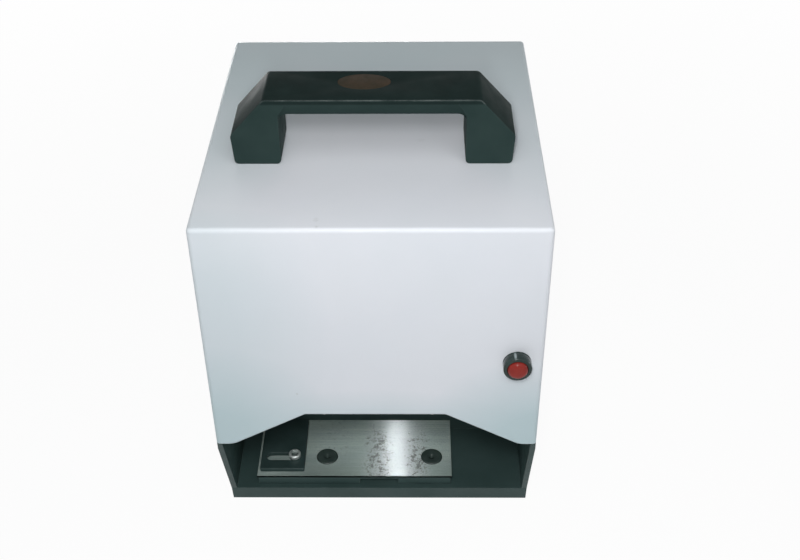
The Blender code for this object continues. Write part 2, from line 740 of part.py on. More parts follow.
def side_screw_holes(owner):
    """Cutters for the cover's side screws, through the sheet and the skirt."""
    return [
        rod(
            f"{owner}_screw_hole_{name}", COVER_SCREW_SHANK + RUNNING_GAP,
            COVER_HALF - COVER_SCREW_LENGTH, COVER_HALF + OVERRUN,
            (0, y, COVER_EDGE + COVER_SCREW_ABOVE_EDGE),
            "right" if sign > 0 else "left", SMALL_STEPS,
        )
        for name, sign, y in side_screw_places()
    ]


def make_cover_screws():
    """Pan-head screws at the foot of the cover's sides."""
    for name, sign, y in side_screw_places():
        head_low = COVER_HALF + GAP
        head_high = head_low + COVER_SCREW_HEAD_HIGH
        profile = [
            (0, head_high),
            (COVER_SCREW_HEAD * COVER_SCREW_CROWN_SHARE, head_high),
            (COVER_SCREW_HEAD, head_low + COVER_SCREW_HEAD_HIGH * COVER_SCREW_RIM_SHARE),
            (COVER_SCREW_HEAD, head_low),
            (COVER_SCREW_SHANK, head_low),
            (COVER_SCREW_SHANK, head_low - COVER_SCREW_LENGTH),
            (0, head_low - COVER_SCREW_LENGTH),
        ]
        turned_part(
            f"cover_screw_{name}", profile, (0, y, COVER_EDGE + COVER_SCREW_ABOVE_EDGE),
            "right" if sign > 0 else "left", SCREW_STEPS, False, BRIGHT_STEEL,
        )


def make_base_housing():
    """The black lower housing: cheeks, front lip, deck, throat wall, rear wall and skirt."""
    base = outline_part(
        "base_housing",
        [rectangle(-COVER_HALF, COVER_HALF, FRONT, REAR, COVER_BEND, COVER_BEND_STEPS)],
        BASE_LIFT, SHOULDER, "XY", BLACK_PAINT,
    )
    skirt_front = back(COVER_SHEET + GAP)
    skirt_rear = REAR - COVER_SHEET - GAP
    skirt = outline_part(
        "skirt", [rectangle(-SKIRT_HALF, SKIRT_HALF, skirt_front, skirt_rear, COVER_BEND)],
        SHOULDER - OVERRUN, SKIRT_TOP,
    )
    join(base, skirt)
    wedge = outline_part(
        "cheek_cutter",
        [[
            (back(-OVERRUN), BASE_LIFT - OVERRUN),
            (back(LIP_BACK_BOTTOM), BASE_LIFT - OVERRUN),
            (back(LIP_BACK_BOTTOM), BASE_LIFT),
            (back(LIP_BACK_TOP), LIP_TOP),
            (FRONT, SHOULDER),
            (back(-OVERRUN), SHOULDER),
        ]],
        -COVER_HALF - OVERRUN, COVER_HALF + OVERRUN, "YZ",
    )
    throat = box(
        "throat_cutter", (-INNER_HALF, back(-OVERRUN), LIP_TOP),
        (INNER_HALF, back(THROAT_DEPTH), SKIRT_TOP + OVERRUN),
    )
    rear_room = box(
        "rear_cutter", (-INNER_HALF, back(THROAT_DEPTH + THROAT_WALL), BASE_LIFT - OVERRUN),
        (INNER_HALF, REAR - BASE_WALL, SKIRT_TOP + OVERRUN),
    )
    under_deck = box(
        "under_deck_cutter", (-INNER_HALF, back(LIP_BACK_BOTTOM + BASE_WALL), BASE_LIFT - OVERRUN),
        (INNER_HALF, back(THROAT_DEPTH + THROAT_WALL) + OVERRUN, DECK_UNDERSIDE),
    )
    inlet = outline_part(
        "inlet_cutter",
        [rectangle(
            INLET_X - INLET_BODY_WIDTH / 2 - GAP, INLET_X + INLET_BODY_WIDTH / 2 + GAP,
            REAR_FITTING_Z - INLET_BODY_HEIGHT / 2 - GAP, REAR_FITTING_Z + INLET_BODY_HEIGHT / 2 + GAP,
        )],
        REAR - BASE_WALL - OVERRUN, REAR + OVERRUN, "XZ",
    )
    switch = outline_part(
        "switch_cutter",
        [rectangle(
            SWITCH_X - SWITCH_BODY_WIDTH / 2 - GAP, SWITCH_X + SWITCH_BODY_WIDTH / 2 + GAP,
            REAR_FITTING_Z - SWITCH_BODY_HEIGHT / 2 - GAP, REAR_FITTING_Z + SWITCH_BODY_HEIGHT / 2 + GAP,
        )],
        REAR - BASE_WALL - OVERRUN, REAR + OVERRUN, "XZ",
    )
    cut(base, wedge, throat, rear_room, under_deck, inlet, switch)
    cut(base, *side_screw_holes("base"))
    return base


def make_bottom_plate():
    """The sheet that closes the housing from below and carries the feet."""
    return outline_part(
        "bottom_plate",
        [rectangle(
            -INNER_HALF + GAP, INNER_HALF - GAP,
            back(LIP_BACK_BOTTOM + BASE_WALL) + GAP, REAR - BASE_WALL - GAP, COVER_BEND,
        )],
        BOTTOM_PLATE_LIFT, BOTTOM_PLATE_TOP, "XY", BLACK_PAINT,
    )


def make_feet():
    """Four flat rubber feet under the bottom plate."""
    top = BOTTOM_PLATE_LIFT - GAP
    profile = [(0, top), (FOOT_RADIUS, top), (FOOT_RADIUS - FOOT_TAPER, 0), (0, 0)]
    places = {"front": back(FOOT_INSET_FRONT), "rear": REAR - FOOT_INSET_REAR}
    for end, y in places.items():
        for side, sign in (("left", -1), ("right", 1)):
            at = (sign * (COVER_HALF - FOOT_INSET_X), y, 0)
            turned_part(f"foot_{end}_{side}", profile, at, paint=RUBBER)


def make_ceiling():
    """The black sheet over the throat, with a hole for each chuck."""
    hole = CHUCK_RADIUS + CEILING_HOLE_CLEAR
    holes = [circle(hole, (x, back(PAD_BACK))) for x in SPINDLE_XS.values()]
    outline = rectangle(
        -SKIRT_HALF, SKIRT_HALF,
        back(COVER_SHEET + GAP), back(THROAT_DEPTH + THROAT_WALL + CEILING_TAIL), COVER_BEND,
    )
    return outline_part(
        "throat_ceiling", [outline, *holes], CEILING_BOTTOM, CEILING_TOP, "XY", BLACK_PAINT,
    )


def make_table():
    """The black table block, the steel plate on it and the two pads."""
    block_front = back(TABLE_FRONT + TABLE_SETBACK)
    table_rear = back(THROAT_DEPTH) - GAP
    pad_places = [(x, back(PAD_BACK)) for x in SPINDLE_XS.values()]
    seat_radius = PAD_RADIUS + GAP
    block = outline_part(
        "table_block",
        [rectangle(-TABLE_LEFT + TABLE_SETBACK, TABLE_RIGHT - TABLE_SETBACK, block_front, table_rear)],
        LIP_TOP + GAP, BLOCK_TOP, "XY", BLACK_PAINT,
    )
    notch = outline_part(
        "finger_notch_cutter",
        [filleted(
            [
                (-FINGER_NOTCH_WIDTH / 2, LIP_TOP - OVERRUN),
                (FINGER_NOTCH_WIDTH / 2, LIP_TOP - OVERRUN),
                (FINGER_NOTCH_WIDTH / 2, LIP_TOP + GAP + FINGER_NOTCH_HEIGHT),
                (-FINGER_NOTCH_WIDTH / 2, LIP_TOP + GAP + FINGER_NOTCH_HEIGHT),
            ],
            [0, 0, FINGER_NOTCH_HEIGHT / 5, FINGER_NOTCH_HEIGHT / 5],
        )],
        block_front - OVERRUN, block_front + FINGER_NOTCH_DEPTH, "XZ",
    )
    clamp_hole = rod(
        "clamp_hole_cutter", CLAMP_SHANK_RADIUS + RUNNING_GAP,
        TABLE_TOP - CLAMP_DEPTH - GAP, TABLE_TOP,
        (clamp_x(), back(SLOT_BACK), 0), steps=SMALL_STEPS,
    )
    cut(block, notch, clamp_hole)
    for name, (x, y) in zip(SPINDLE_XS, pad_places):
        seat = rod(
            f"pad_seat_{name}", seat_radius, BLOCK_TOP - PAD_SEAT, BLOCK_TOP + OVERRUN, (x, y, 0),
            steps=FINE_STEPS,
        )
        cut(block, seat)

    plate_holes = [circle(seat_radius, place, FINE_STEPS) for place in pad_places]
    plate_holes.append(
        circle(CLAMP_SHANK_RADIUS + RUNNING_GAP, (clamp_x(), back(SLOT_BACK)), SMALL_STEPS)
    )
    outline_part(
        "table_plate",
        [rectangle(-TABLE_LEFT, TABLE_RIGHT, back(TABLE_FRONT), table_rear), *plate_holes],
        TABLE_TOP - TABLE_PLATE_THICK, TABLE_TOP, "XY", STAINLESS,
    )
    pad_bottom = BLOCK_TOP - PAD_SEAT + GAP
    pad_profile = [
        (0, PAD_TOP - PAD_DISH),
        (PAD_DISH_RADIUS * 0.6, PAD_TOP - PAD_DISH * 0.85),
        (PAD_DISH_RADIUS, PAD_TOP - PAD_DISH * 0.2),
        (PAD_DISH_RADIUS * 1.3, PAD_TOP),
        (PAD_RADIUS - PAD_PROUD, PAD_TOP),
        (PAD_RADIUS - PAD_PROUD * 0.3, PAD_TOP - PAD_PROUD * 0.3),
        (PAD_RADIUS, PAD_TOP - PAD_PROUD),
        (PAD_RADIUS, pad_bottom),
        (0, pad_bottom),
    ]
    for name, (x, y) in zip(SPINDLE_XS, pad_places):
        turned_part(f"pad_{name}", pad_profile, (x, y, 0), steps=FINE_STEPS, paint=PAD_PLASTIC)


def clamp_x():
    """X of the clamp screw, at the right end of the guide's slot."""
    return -GUIDE_RIGHT - (GUIDE_LEFT - GUIDE_RIGHT - SLOT_LENGTH) / 2 - SLOT_WIDTH / 2


def make_side_guide():
    """The black guide block with its slot, and the screw that clamps it."""
    low = TABLE_TOP + GAP
    high = low + GUIDE_HEIGHT
    slot_middle = clamp_x() - SLOT_LENGTH / 2 + SLOT_WIDTH / 2
    at = (clamp_x(), back(SLOT_BACK), low)
    guide = outline_part(
        "side_guide",
        [
            rectangle(-GUIDE_LEFT, -GUIDE_RIGHT, back(GUIDE_FRONT), back(GUIDE_REAR), GUIDE_EDGE * 2, 2),
            slot_outline((slot_middle, back(SLOT_BACK)), SLOT_LENGTH, SLOT_WIDTH),
        ],
        low, high, "XY", BLACK_PLASTIC,
    )
    bevelled(guide, GUIDE_EDGE)
    pivot(guide, at)
    head_low = high + GAP
    head_high = head_low + CLAMP_HEAD_HEIGHT
    profile = [
        (0, head_high),
        (CLAMP_HEAD_RADIUS * 0.80, head_high),
        (CLAMP_HEAD_RADIUS, head_high - CLAMP_HEAD_HEIGHT * 0.2),
        (CLAMP_HEAD_RADIUS, head_low),
        (CLAMP_SHANK_RADIUS, head_low),
        (CLAMP_SHANK_RADIUS, TABLE_TOP - CLAMP_DEPTH),
        (0, TABLE_TOP - CLAMP_DEPTH),
    ]
    screw = turned_part(
        "guide_clamp_screw", profile, (at[0], at[1], 0), steps=FINE_STEPS, paint=BRIGHT_STEEL,
    )
    socket_across = CLAMP_HEAD_RADIUS * 0.9
    socket = rod(
        "socket_cutter", socket_across / math.sqrt(3), head_high - CLAMP_HEAD_HEIGHT * 0.55,
        head_high + OVERRUN, (at[0], at[1], 0), steps=6,
    )
    cut(screw, socket)
    pivot(screw, at)


def make_handle():
    """The moulded bridge handle, its outer edges chamfered, and its two screws."""
    corners = [
        (-HANDLE_FOOT_HALF, COVER_TOP + GAP),
        (-HANDLE_SHOULDER_HALF, COVER_TOP + HANDLE_SHOULDER_RISE),
        (-HANDLE_TOP_HALF, COVER_TOP + HANDLE_HEIGHT),
        (HANDLE_TOP_HALF, COVER_TOP + HANDLE_HEIGHT),
        (HANDLE_SHOULDER_HALF, COVER_TOP + HANDLE_SHOULDER_RISE),
        (HANDLE_FOOT_HALF, COVER_TOP + GAP),
        (HANDLE_OPENING_HALF, COVER_TOP + GAP),
        (HANDLE_OPENING_HALF, COVER_TOP + HANDLE_BAR_UNDERSIDE),
        (-HANDLE_OPENING_HALF, COVER_TOP + HANDLE_BAR_UNDERSIDE),
        (-HANDLE_OPENING_HALF, COVER_TOP + GAP),
    ]
    top = HANDLE_TOP_RADIUS
    inner = HANDLE_INNER_RADIUS
    outline = filleted(corners, [0, top, top, top, top, 0, 0, inner, inner, 0])
    front = back(HANDLE_FRONT)
    rear = front + HANDLE_DEPTH
    handle = outline_part("handle", [outline], front, rear, "XZ", BLACK_PLASTIC)

    shape = bmesh.new()
    shape.from_mesh(handle.data)
    weight = shape.edges.layers.float.new("bevel_weight_edge")
    middle = (front + rear) / 2
    for edge in shape.edges:
        near = all(vert.co.y < middle for vert in edge.verts)
        far = all(vert.co.y > middle for vert in edge.verts)
        foot = all(vert.co.z < COVER_TOP + 2 * GAP for vert in edge.verts)
        border = len(edge.link_faces) == 2 and edge.calc_face_angle() > math.radians(60)
        inside = all(
            abs(vert.co.x) < HANDLE_OPENING_HALF + GAP
            and vert.co.z < COVER_TOP + HANDLE_BAR_UNDERSIDE + GAP
            for vert in edge.verts
        )
        if (near or far) and border and not foot:
            edge[weight] = HANDLE_INNER_CHAMFER_SHARE if inside else 1
    shape.to_mesh(handle.data)
    shape.free()
    chamfer = handle.modifiers.new("chamfer", "BEVEL")
    chamfer.width = HANDLE_CHAMFER
    chamfer.segments = 1
    chamfer.limit_method = "WEIGHT"
    chamfer.use_clamp_overlap = False

    # The bar's front and rear faces lean in below a short upright part
    face_low = COVER_TOP + HANDLE_HEIGHT - HANDLE_BAR_FACE
    drop = face_low - COVER_TOP - HANDLE_BAR_UNDERSIDE
    lean = math.atan2(HANDLE_BAR_LEAN, drop)
    upper_half = HANDLE_OPENING_HALF - HANDLE_LEAN_INSET
    wedges = []
    for face, way in ((front, -1), (rear, 1)):
        wedge = outline_part(
            "bar_cutter",
            [[
                (-HANDLE_OPENING_HALF, face_low - 2 * drop),
                (HANDLE_OPENING_HALF, face_low - 2 * drop),
                (HANDLE_OPENING_HALF, face_low - drop),
                (upper_half, face_low),
                (-upper_half, face_low),
                (-HANDLE_OPENING_HALF, face_low - drop),
            ]],
            min(face, face + way * HANDLE_DEPTH / 2), max(face, face + way * HANDLE_DEPTH / 2), "XZ",
        )
        hinge = Vector((0, face, face_low))
        turn = Matrix.Rotation(-way * lean, 4, "X")
        wedge.data.transform(Matrix.Translation(hinge) @ turn @ Matrix.Translation(-hinge))
        wedges.append(wedge)
    cut(handle, *wedges)

    screw_top = COVER_TOP + HANDLE_SCREW_LENGTH
    head_top = COVER_TOP - COVER_SHEET - GAP
    for side, sign in (("left", -1), ("right", 1)):
        at = (sign * HANDLE_SCREW_HALF, middle, 0)
        hole = rod(
            f"handle_hole_{side}", HANDLE_SCREW_SHANK + RUNNING_GAP, COVER_TOP - OVERRUN,
            screw_top + GAP, at, steps=SMALL_STEPS,
        )
        cut(handle, hole)
        profile = [
            (0, screw_top),
            (HANDLE_SCREW_SHANK, screw_top),
            (HANDLE_SCREW_SHANK, head_top),
            (HANDLE_SCREW_HEAD, head_top),
            (HANDLE_SCREW_HEAD, head_top - HANDLE_SCREW_HEAD_HIGH * HANDLE_SCREW_RIM_SHARE),
            (HANDLE_SCREW_HEAD * HANDLE_SCREW_CROWN_SHARE, head_top - HANDLE_SCREW_HEAD_HIGH),
            (0, head_top - HANDLE_SCREW_HEAD_HIGH),
        ]
        turned_part(f"handle_screw_{side}", profile, at, steps=SCREW_STEPS, paint=BRIGHT_STEEL)


def make_start_button():
    """The red push button: bezel with its barrel, cap, lock nut and contact block."""
    at = (BUTTON_X, FRONT, BUTTON_Z)
    bore = BUTTON_CAP_RADIUS + RUNNING_GAP
    edge = BUTTON_BEZEL_EDGE
    front = BUTTON_BEZEL_PROUD
    outside, inside = (edge * share for share in BEZEL_ROUND_SHARES)
    bezel_profile = [
        (bore + inside, front),
        (BUTTON_BEZEL_RADIUS - edge, front),
        (BUTTON_BEZEL_RADIUS - outside, front - outside),
        (BUTTON_BEZEL_RADIUS, front - edge),
        (BUTTON_BEZEL_RADIUS, GAP),
        (BUTTON_BARREL_RADIUS, GAP),
        (BUTTON_BARREL_RADIUS, -BUTTON_BARREL_LENGTH),
        (bore, -BUTTON_BARREL_LENGTH),
        (bore, front - inside),
    ]
    turned_part("button_bezel", bezel_profile, at, "front", FINE_STEPS, True, BLACK_PLASTIC)

    crown = front + BUTTON_CAP_PROUD
    cap_rear = crown - BUTTON_CAP_LENGTH
    stem_rear = -BUTTON_BARREL_LENGTH - GAP - BUTTON_STEM_IN_BLOCK
    cap_profile = [
        (0, crown),
        *[
            (BUTTON_CAP_RADIUS * wide, crown - BUTTON_CAP_CROWN * drop)
            for wide, drop in CAP_CROWN_SHARES
        ],
        (BUTTON_CAP_RADIUS, crown - BUTTON_CAP_CROWN),
        (BUTTON_CAP_RADIUS, cap_rear),
        (BUTTON_STEM_RADIUS, cap_rear),
        (BUTTON_STEM_RADIUS, stem_rear),
        (0, stem_rear),
    ]
    cap = turned_part("button_cap", cap_profile, at, "front", FINE_STEPS, paint=RED_PLASTIC)
    pivot(cap, at)

    nut_front = -COVER_SHEET - GAP
    nut = rod(
        "button_nut", BUTTON_NUT_RADIUS, nut_front - BUTTON_NUT_THICK, nut_front, at, "front",
        BUTTON_NUT_SIDES, BRIGHT_STEEL,
    )
    nut_bore = rod(
        "nut_bore_cutter", BUTTON_BARREL_RADIUS + GAP, nut_front - BUTTON_NUT_THICK - OVERRUN,
        nut_front + OVERRUN, at, "front", FINE_STEPS,
    )
    cut(nut, nut_bore)

    half = BUTTON_BLOCK_SIZE / 2
    block_front = back(BUTTON_BARREL_LENGTH + GAP)
    block = box(
        "button_contact_block", (BUTTON_X - half, block_front, BUTTON_Z - half),
        (BUTTON_X + half, block_front + BUTTON_BLOCK_DEPTH, BUTTON_Z + half), BLACK_PLASTIC,
    )
    bevelled(block, BUTTON_BLOCK_CHAMFER)
    stem_room = rod(
        "stem_cutter", BUTTON_STEM_RADIUS + RUNNING_GAP, stem_rear - BUTTON_TRAVEL - RUNNING_GAP,
        OVERRUN - BUTTON_BARREL_LENGTH, at, "front", SMALL_STEPS,
    )
    cut(block, stem_room)


def make_mains_inlet():
    """The three-pin appliance inlet in the rear wall."""
    flange_low = REAR + GAP
    flange_high = flange_low + INLET_FLANGE_THICK
    inlet = outline_part(
        "mains_inlet",
        [rectangle(
            INLET_X - INLET_FLANGE_WIDTH / 2, INLET_X + INLET_FLANGE_WIDTH / 2,
            REAR_FITTING_Z - INLET_FLANGE_HEIGHT / 2, REAR_FITTING_Z + INLET_FLANGE_HEIGHT / 2,
            SWITCH_FLANGE_CORNER,
        )],
        flange_low, flange_high, "XZ", BLACK_PLASTIC,
    )
    body = outline_part(
        "inlet_body",
        [rectangle(
            INLET_X - INLET_BODY_WIDTH / 2, INLET_X + INLET_BODY_WIDTH / 2,
            REAR_FITTING_Z - INLET_BODY_HEIGHT / 2, REAR_FITTING_Z + INLET_BODY_HEIGHT / 2,
        )],
        REAR - INLET_BODY_DEPTH, flange_low + EMBED, "XZ",
    )
    half_wide = INLET_RECESS_WIDTH / 2
    half_high = INLET_RECESS_HEIGHT / 2
    recess_outline = [
        (INLET_X - half_wide, REAR_FITTING_Z + half_high),
        (INLET_X - half_wide, REAR_FITTING_Z - half_high + INLET_CORNER),
        (INLET_X - half_wide + INLET_CORNER, REAR_FITTING_Z - half_high),
        (INLET_X + half_wide - INLET_CORNER, REAR_FITTING_Z - half_high),
        (INLET_X + half_wide, REAR_FITTING_Z - half_high + INLET_CORNER),
        (INLET_X + half_wide, REAR_FITTING_Z + half_high),
    ]
    recess_floor = flange_high - INLET_RECESS_DEPTH
    recess = outline_part(
        "inlet_recess_cutter", [recess_outline], recess_floor, flange_high + OVERRUN, "XZ",
    )
    join(inlet, body)
    cut(inlet, recess)
    pin_places = {
        "left": (-INLET_PIN_SPREAD, -INLET_PIN_RISE),
        "middle": (0, INLET_PIN_RISE),
        "right": (INLET_PIN_SPREAD, -INLET_PIN_RISE),
    }
    for name, (x, z) in pin_places.items():
        pin = box(
            f"inlet_pin_{name}",
            (INLET_X + x - INLET_PIN_WIDTH / 2, recess_floor - EMBED, REAR_FITTING_Z + z - INLET_PIN_HEIGHT / 2),
            (
                INLET_X + x + INLET_PIN_WIDTH / 2,
                recess_floor + INLET_PIN_LENGTH,
                REAR_FITTING_Z + z + INLET_PIN_HEIGHT / 2,
            ),
        )
        join(inlet, pin)


def make_power_switch():
    """The rocker switch beside the inlet, its upper end pressed in at rest."""
    flange_low = REAR + GAP
    flange_high = flange_low + SWITCH_FLANGE_THICK
    frame = outline_part(
        "switch_frame",
        [rectangle(
            SWITCH_X - SWITCH_FLANGE_WIDTH / 2, SWITCH_X + SWITCH_FLANGE_WIDTH / 2,
            REAR_FITTING_Z - SWITCH_FLANGE_HEIGHT / 2, REAR_FITTING_Z + SWITCH_FLANGE_HEIGHT / 2,
            SWITCH_FLANGE_CORNER,
        )],
        flange_low, flange_high, "XZ", BLACK_PLASTIC,
    )
    body = outline_part(
        "switch_body",
        [rectangle(
            SWITCH_X - SWITCH_BODY_WIDTH / 2, SWITCH_X + SWITCH_BODY_WIDTH / 2,
            REAR_FITTING_Z - SWITCH_BODY_HEIGHT / 2, REAR_FITTING_Z + SWITCH_BODY_HEIGHT / 2,
        )],
        REAR - SWITCH_BODY_DEPTH, flange_low + EMBED, "XZ",
    )
    pocket_half = ROCKER_WIDTH / 2 + RUNNING_GAP
    pocket = box(
        "switch_pocket_cutter",
        (SWITCH_X - pocket_half, flange_high - SWITCH_POCKET_DEPTH, REAR_FITTING_Z - SWITCH_POCKET_HALF),
        (SWITCH_X + pocket_half, flange_high + OVERRUN, REAR_FITTING_Z + SWITCH_POCKET_HALF),
    )
    join(frame, body)
    cut(frame, pocket)

    pivot_y = REAR - ROCKER_PIVOT_DEPTH
    profile = [
        (ROCKER_END, ROCKER_HALF),
        (ROCKER_MIDDLE, 0),
        (ROCKER_END, -ROCKER_HALF),
        (-ROCKER_TAIL_HALF / 2, -ROCKER_HALF * ROCKER_WAIST_SHARE),
        (-ROCKER_TAIL, -ROCKER_TAIL_HALF),
        (-ROCKER_TAIL, ROCKER_TAIL_HALF),
        (-ROCKER_TAIL_HALF / 2, ROCKER_HALF * ROCKER_WAIST_SHARE),
    ]
    cosine = math.cos(ROCKER_TILT)
    sine = math.sin(ROCKER_TILT)
    tilted = [
        (pivot_y + y * cosine - z * sine, REAR_FITTING_Z + y * sine + z * cosine)
        for y, z in profile
    ]
    rocker = outline_part(
        "power_rocker", [tilted], SWITCH_X - ROCKER_WIDTH / 2, SWITCH_X + ROCKER_WIDTH / 2,
        "YZ", BLACK_PLASTIC,
    )
    pivot(rocker, (SWITCH_X, pivot_y, REAR_FITTING_Z))


def make_frame():
    """The foot plate, the two guide posts, the top plate and the post nuts."""
    posts = {"left": (-POST_X, back(POST_BACK)), "right": (POST_X, back(POST_BACK))}
    spigot_hole = POST_SPIGOT_RADIUS + GAP
    screw_place = (0, back(POST_BACK))
    foot_holes = [circle(spigot_hole, place) for place in posts.values()]
    foot_holes.append(circle(SCREW_JOURNAL_RADIUS + RUNNING_GAP, screw_place))
    outline_part(
        "frame_foot",
        [
            rectangle(-FRAME_HALF, FRAME_HALF, back(FRAME_FRONT), back(FRAME_REAR)),
            *foot_holes,
        ],
        FRAME_BOTTOM, FRAME_TOP, "XY", CAST_METAL,
    )

    shoulder_low = FRAME_TOP + GAP
    shoulder_high = TOP_PLATE_Z - GAP
    stud_top = TOP_PLATE_Z + TOP_PLATE_THICK + POST_STUD_LENGTH
    post_profile = [
        (0, stud_top),
        (POST_SPIGOT_RADIUS, stud_top),
        (POST_SPIGOT_RADIUS, shoulder_high),
        (POST_RADIUS, shoulder_high),
        (POST_RADIUS, shoulder_low),
        (POST_SPIGOT_RADIUS, shoulder_low),
        (POST_SPIGOT_RADIUS, FRAME_BOTTOM),
        (0, FRAME_BOTTOM),
    ]
    nut_low = TOP_PLATE_Z + TOP_PLATE_THICK + GAP
    for name, place in posts.items():
        at = (*place, 0)
        post = turned_part(f"guide_post_{name}", post_profile, at, paint=BRIGHT_STEEL)
        nut = rod(
            f"post_nut_{name}", POST_NUT_RADIUS, nut_low, nut_low + POST_NUT_THICK, at, steps=6,
        )
        join(post, nut)

    half = POST_X + TOP_PLATE_MARGIN
    front = back(POST_BACK - TOP_PLATE_MARGIN)
    rear = back(POST_BACK) + FEED_CENTRES + FEED_MOTOR_RADIUS
    waist = FEED_MOTOR_RADIUS * TOP_PLATE_TAIL_SHARE
    plate_corners = [
        (-half, front), (half, front), (half, back(POST_BACK + TOP_PLATE_MARGIN)),
        (waist, rear), (-waist, rear), (-half, back(POST_BACK + TOP_PLATE_MARGIN)),
    ]
    corner = TOP_PLATE_MARGIN / 2
    bearing_hole = circle(SCREW_BEARING_RADIUS + GAP, screw_place)
    shaft_hole = circle(FEED_SHAFT_RADIUS + FEED_MOTOR_BORE_CLEAR, feed_motor_place(), SMALL_STEPS)
    outline_part(
        "top_plate",
        [
            filleted(plate_corners, [corner] * len(plate_corners)),
            bearing_hole, shaft_hole, *[circle(spigot_hole, place) for place in posts.values()],
        ],
        TOP_PLATE_Z, TOP_PLATE_Z + TOP_PLATE_THICK, "XY", CAST_METAL,
    )


def feed_motor_place():
    """X and Y of the feed motor's shaft."""
    return (0, back(POST_BACK) + FEED_CENTRES)


def make_feed_drive():
    """Lead screw with its gear and flanged bearing; feed motor with its pinion."""
    screw_at = (0, back(POST_BACK), 0)
    gear_top = FEED_GEAR_Z + GEAR_THICK + GEAR_HUB_HEIGHT
    bearing_top = TOP_PLATE_Z + TOP_PLATE_THICK + GAP + BEARING_FLANGE_THICK
    screw_top = TOP_PLATE_Z - GAP
    screw_low = FRAME_TOP + GAP
    profile = [
        (0, gear_top),
        (SCREW_JOURNAL_RADIUS, gear_top),
        (SCREW_JOURNAL_RADIUS, screw_top),
        (SCREW_RADIUS, screw_top),
        (SCREW_RADIUS, screw_low),
        (SCREW_JOURNAL_RADIUS, screw_low),
        (SCREW_JOURNAL_RADIUS, FRAME_BOTTOM),
        (0, FRAME_BOTTOM),
    ]
    screw = turned_part("lead_screw", profile, screw_at, steps=SMALL_STEPS, paint=BRIGHT_STEEL)
    pivot(screw, screw_at)

    bearing_profile = [
        (BEARING_FLANGE_RADIUS, bearing_top),
        (BEARING_FLANGE_RADIUS, TOP_PLATE_Z + TOP_PLATE_THICK + GAP),
        (SCREW_BEARING_RADIUS, TOP_PLATE_Z + TOP_PLATE_THICK + GAP),
        (SCREW_BEARING_RADIUS, TOP_PLATE_Z),
        (SCREW_JOURNAL_RADIUS + RUNNING_GAP, TOP_PLATE_Z),
        (SCREW_JOURNAL_RADIUS + RUNNING_GAP, bearing_top),
    ]
    turned_part("screw_bearing", bearing_profile, screw_at, closed=True, paint=BRONZE)

    toward_motor = math.pi / 2
    gear_bore = circle(SCREW_JOURNAL_RADIUS + GAP, screw_at[:2])
    gear = outline_part(
        "screw_gear",
        [
            gear_outline(GEAR_TEETH, FEED_MODULE, screw_at[:2], toward_motor - math.pi / GEAR_TEETH),
            gear_bore,
        ],
        FEED_GEAR_Z, FEED_GEAR_Z + GEAR_THICK, "XY", BRIGHT_STEEL,
    )
    hub = tube(
        "screw_gear_hub", GEAR_HUB_RADIUS, SCREW_JOURNAL_RADIUS + 2 * GAP,
        FEED_GEAR_Z + GEAR_THICK - EMBED, gear_top, screw_at,
    )
    join(gear, hub)
    pivot(gear, screw_at)

    motor_at = (*feed_motor_place(), 0)
    motor_top = TOP_PLATE_Z - GAP
    can_low = NUT_FLANGE_TOP + FEED_MOTOR_ABOVE_NUT
    length = motor_top - can_low
    gearbox_low = motor_top - length * FEED_GEARBOX_SHARE
    seat_low = motor_top - length * FEED_SHAFT_SEAT_SHARE
    motor_profile = [
        (0, motor_top),
        (FEED_MOTOR_RADIUS - MOTOR_EDGE, motor_top),
        (FEED_MOTOR_RADIUS, motor_top - MOTOR_EDGE),
        (FEED_MOTOR_RADIUS, gearbox_low),
        (FEED_CAN_RADIUS, gearbox_low),
        (FEED_CAN_RADIUS, can_low + MOTOR_EDGE),
        (FEED_CAN_RADIUS - MOTOR_EDGE, can_low),
        (0, can_low),
    ]
    motor = turned_part("feed_motor", motor_profile, motor_at, paint=LAMINATIONS)
    shaft_seat = rod(
        "feed_shaft_cutter", FEED_SHAFT_RADIUS + RUNNING_GAP, seat_low,
        motor_top + OVERRUN, motor_at, steps=SMALL_STEPS,
    )
    cut(motor, shaft_seat)

    pinion = outline_part(
        "feed_pinion",
        [gear_outline(PINION_TEETH, FEED_MODULE, motor_at[:2], -toward_motor)],
        FEED_GEAR_Z, FEED_GEAR_Z + GEAR_THICK, "XY", BRIGHT_STEEL,
    )
    shaft = rod(
        "feed_shaft", FEED_SHAFT_RADIUS, seat_low + GAP, gear_top, motor_at,
        steps=SMALL_STEPS,
    )
    join(pinion, shaft)
    pivot(pinion, motor_at)


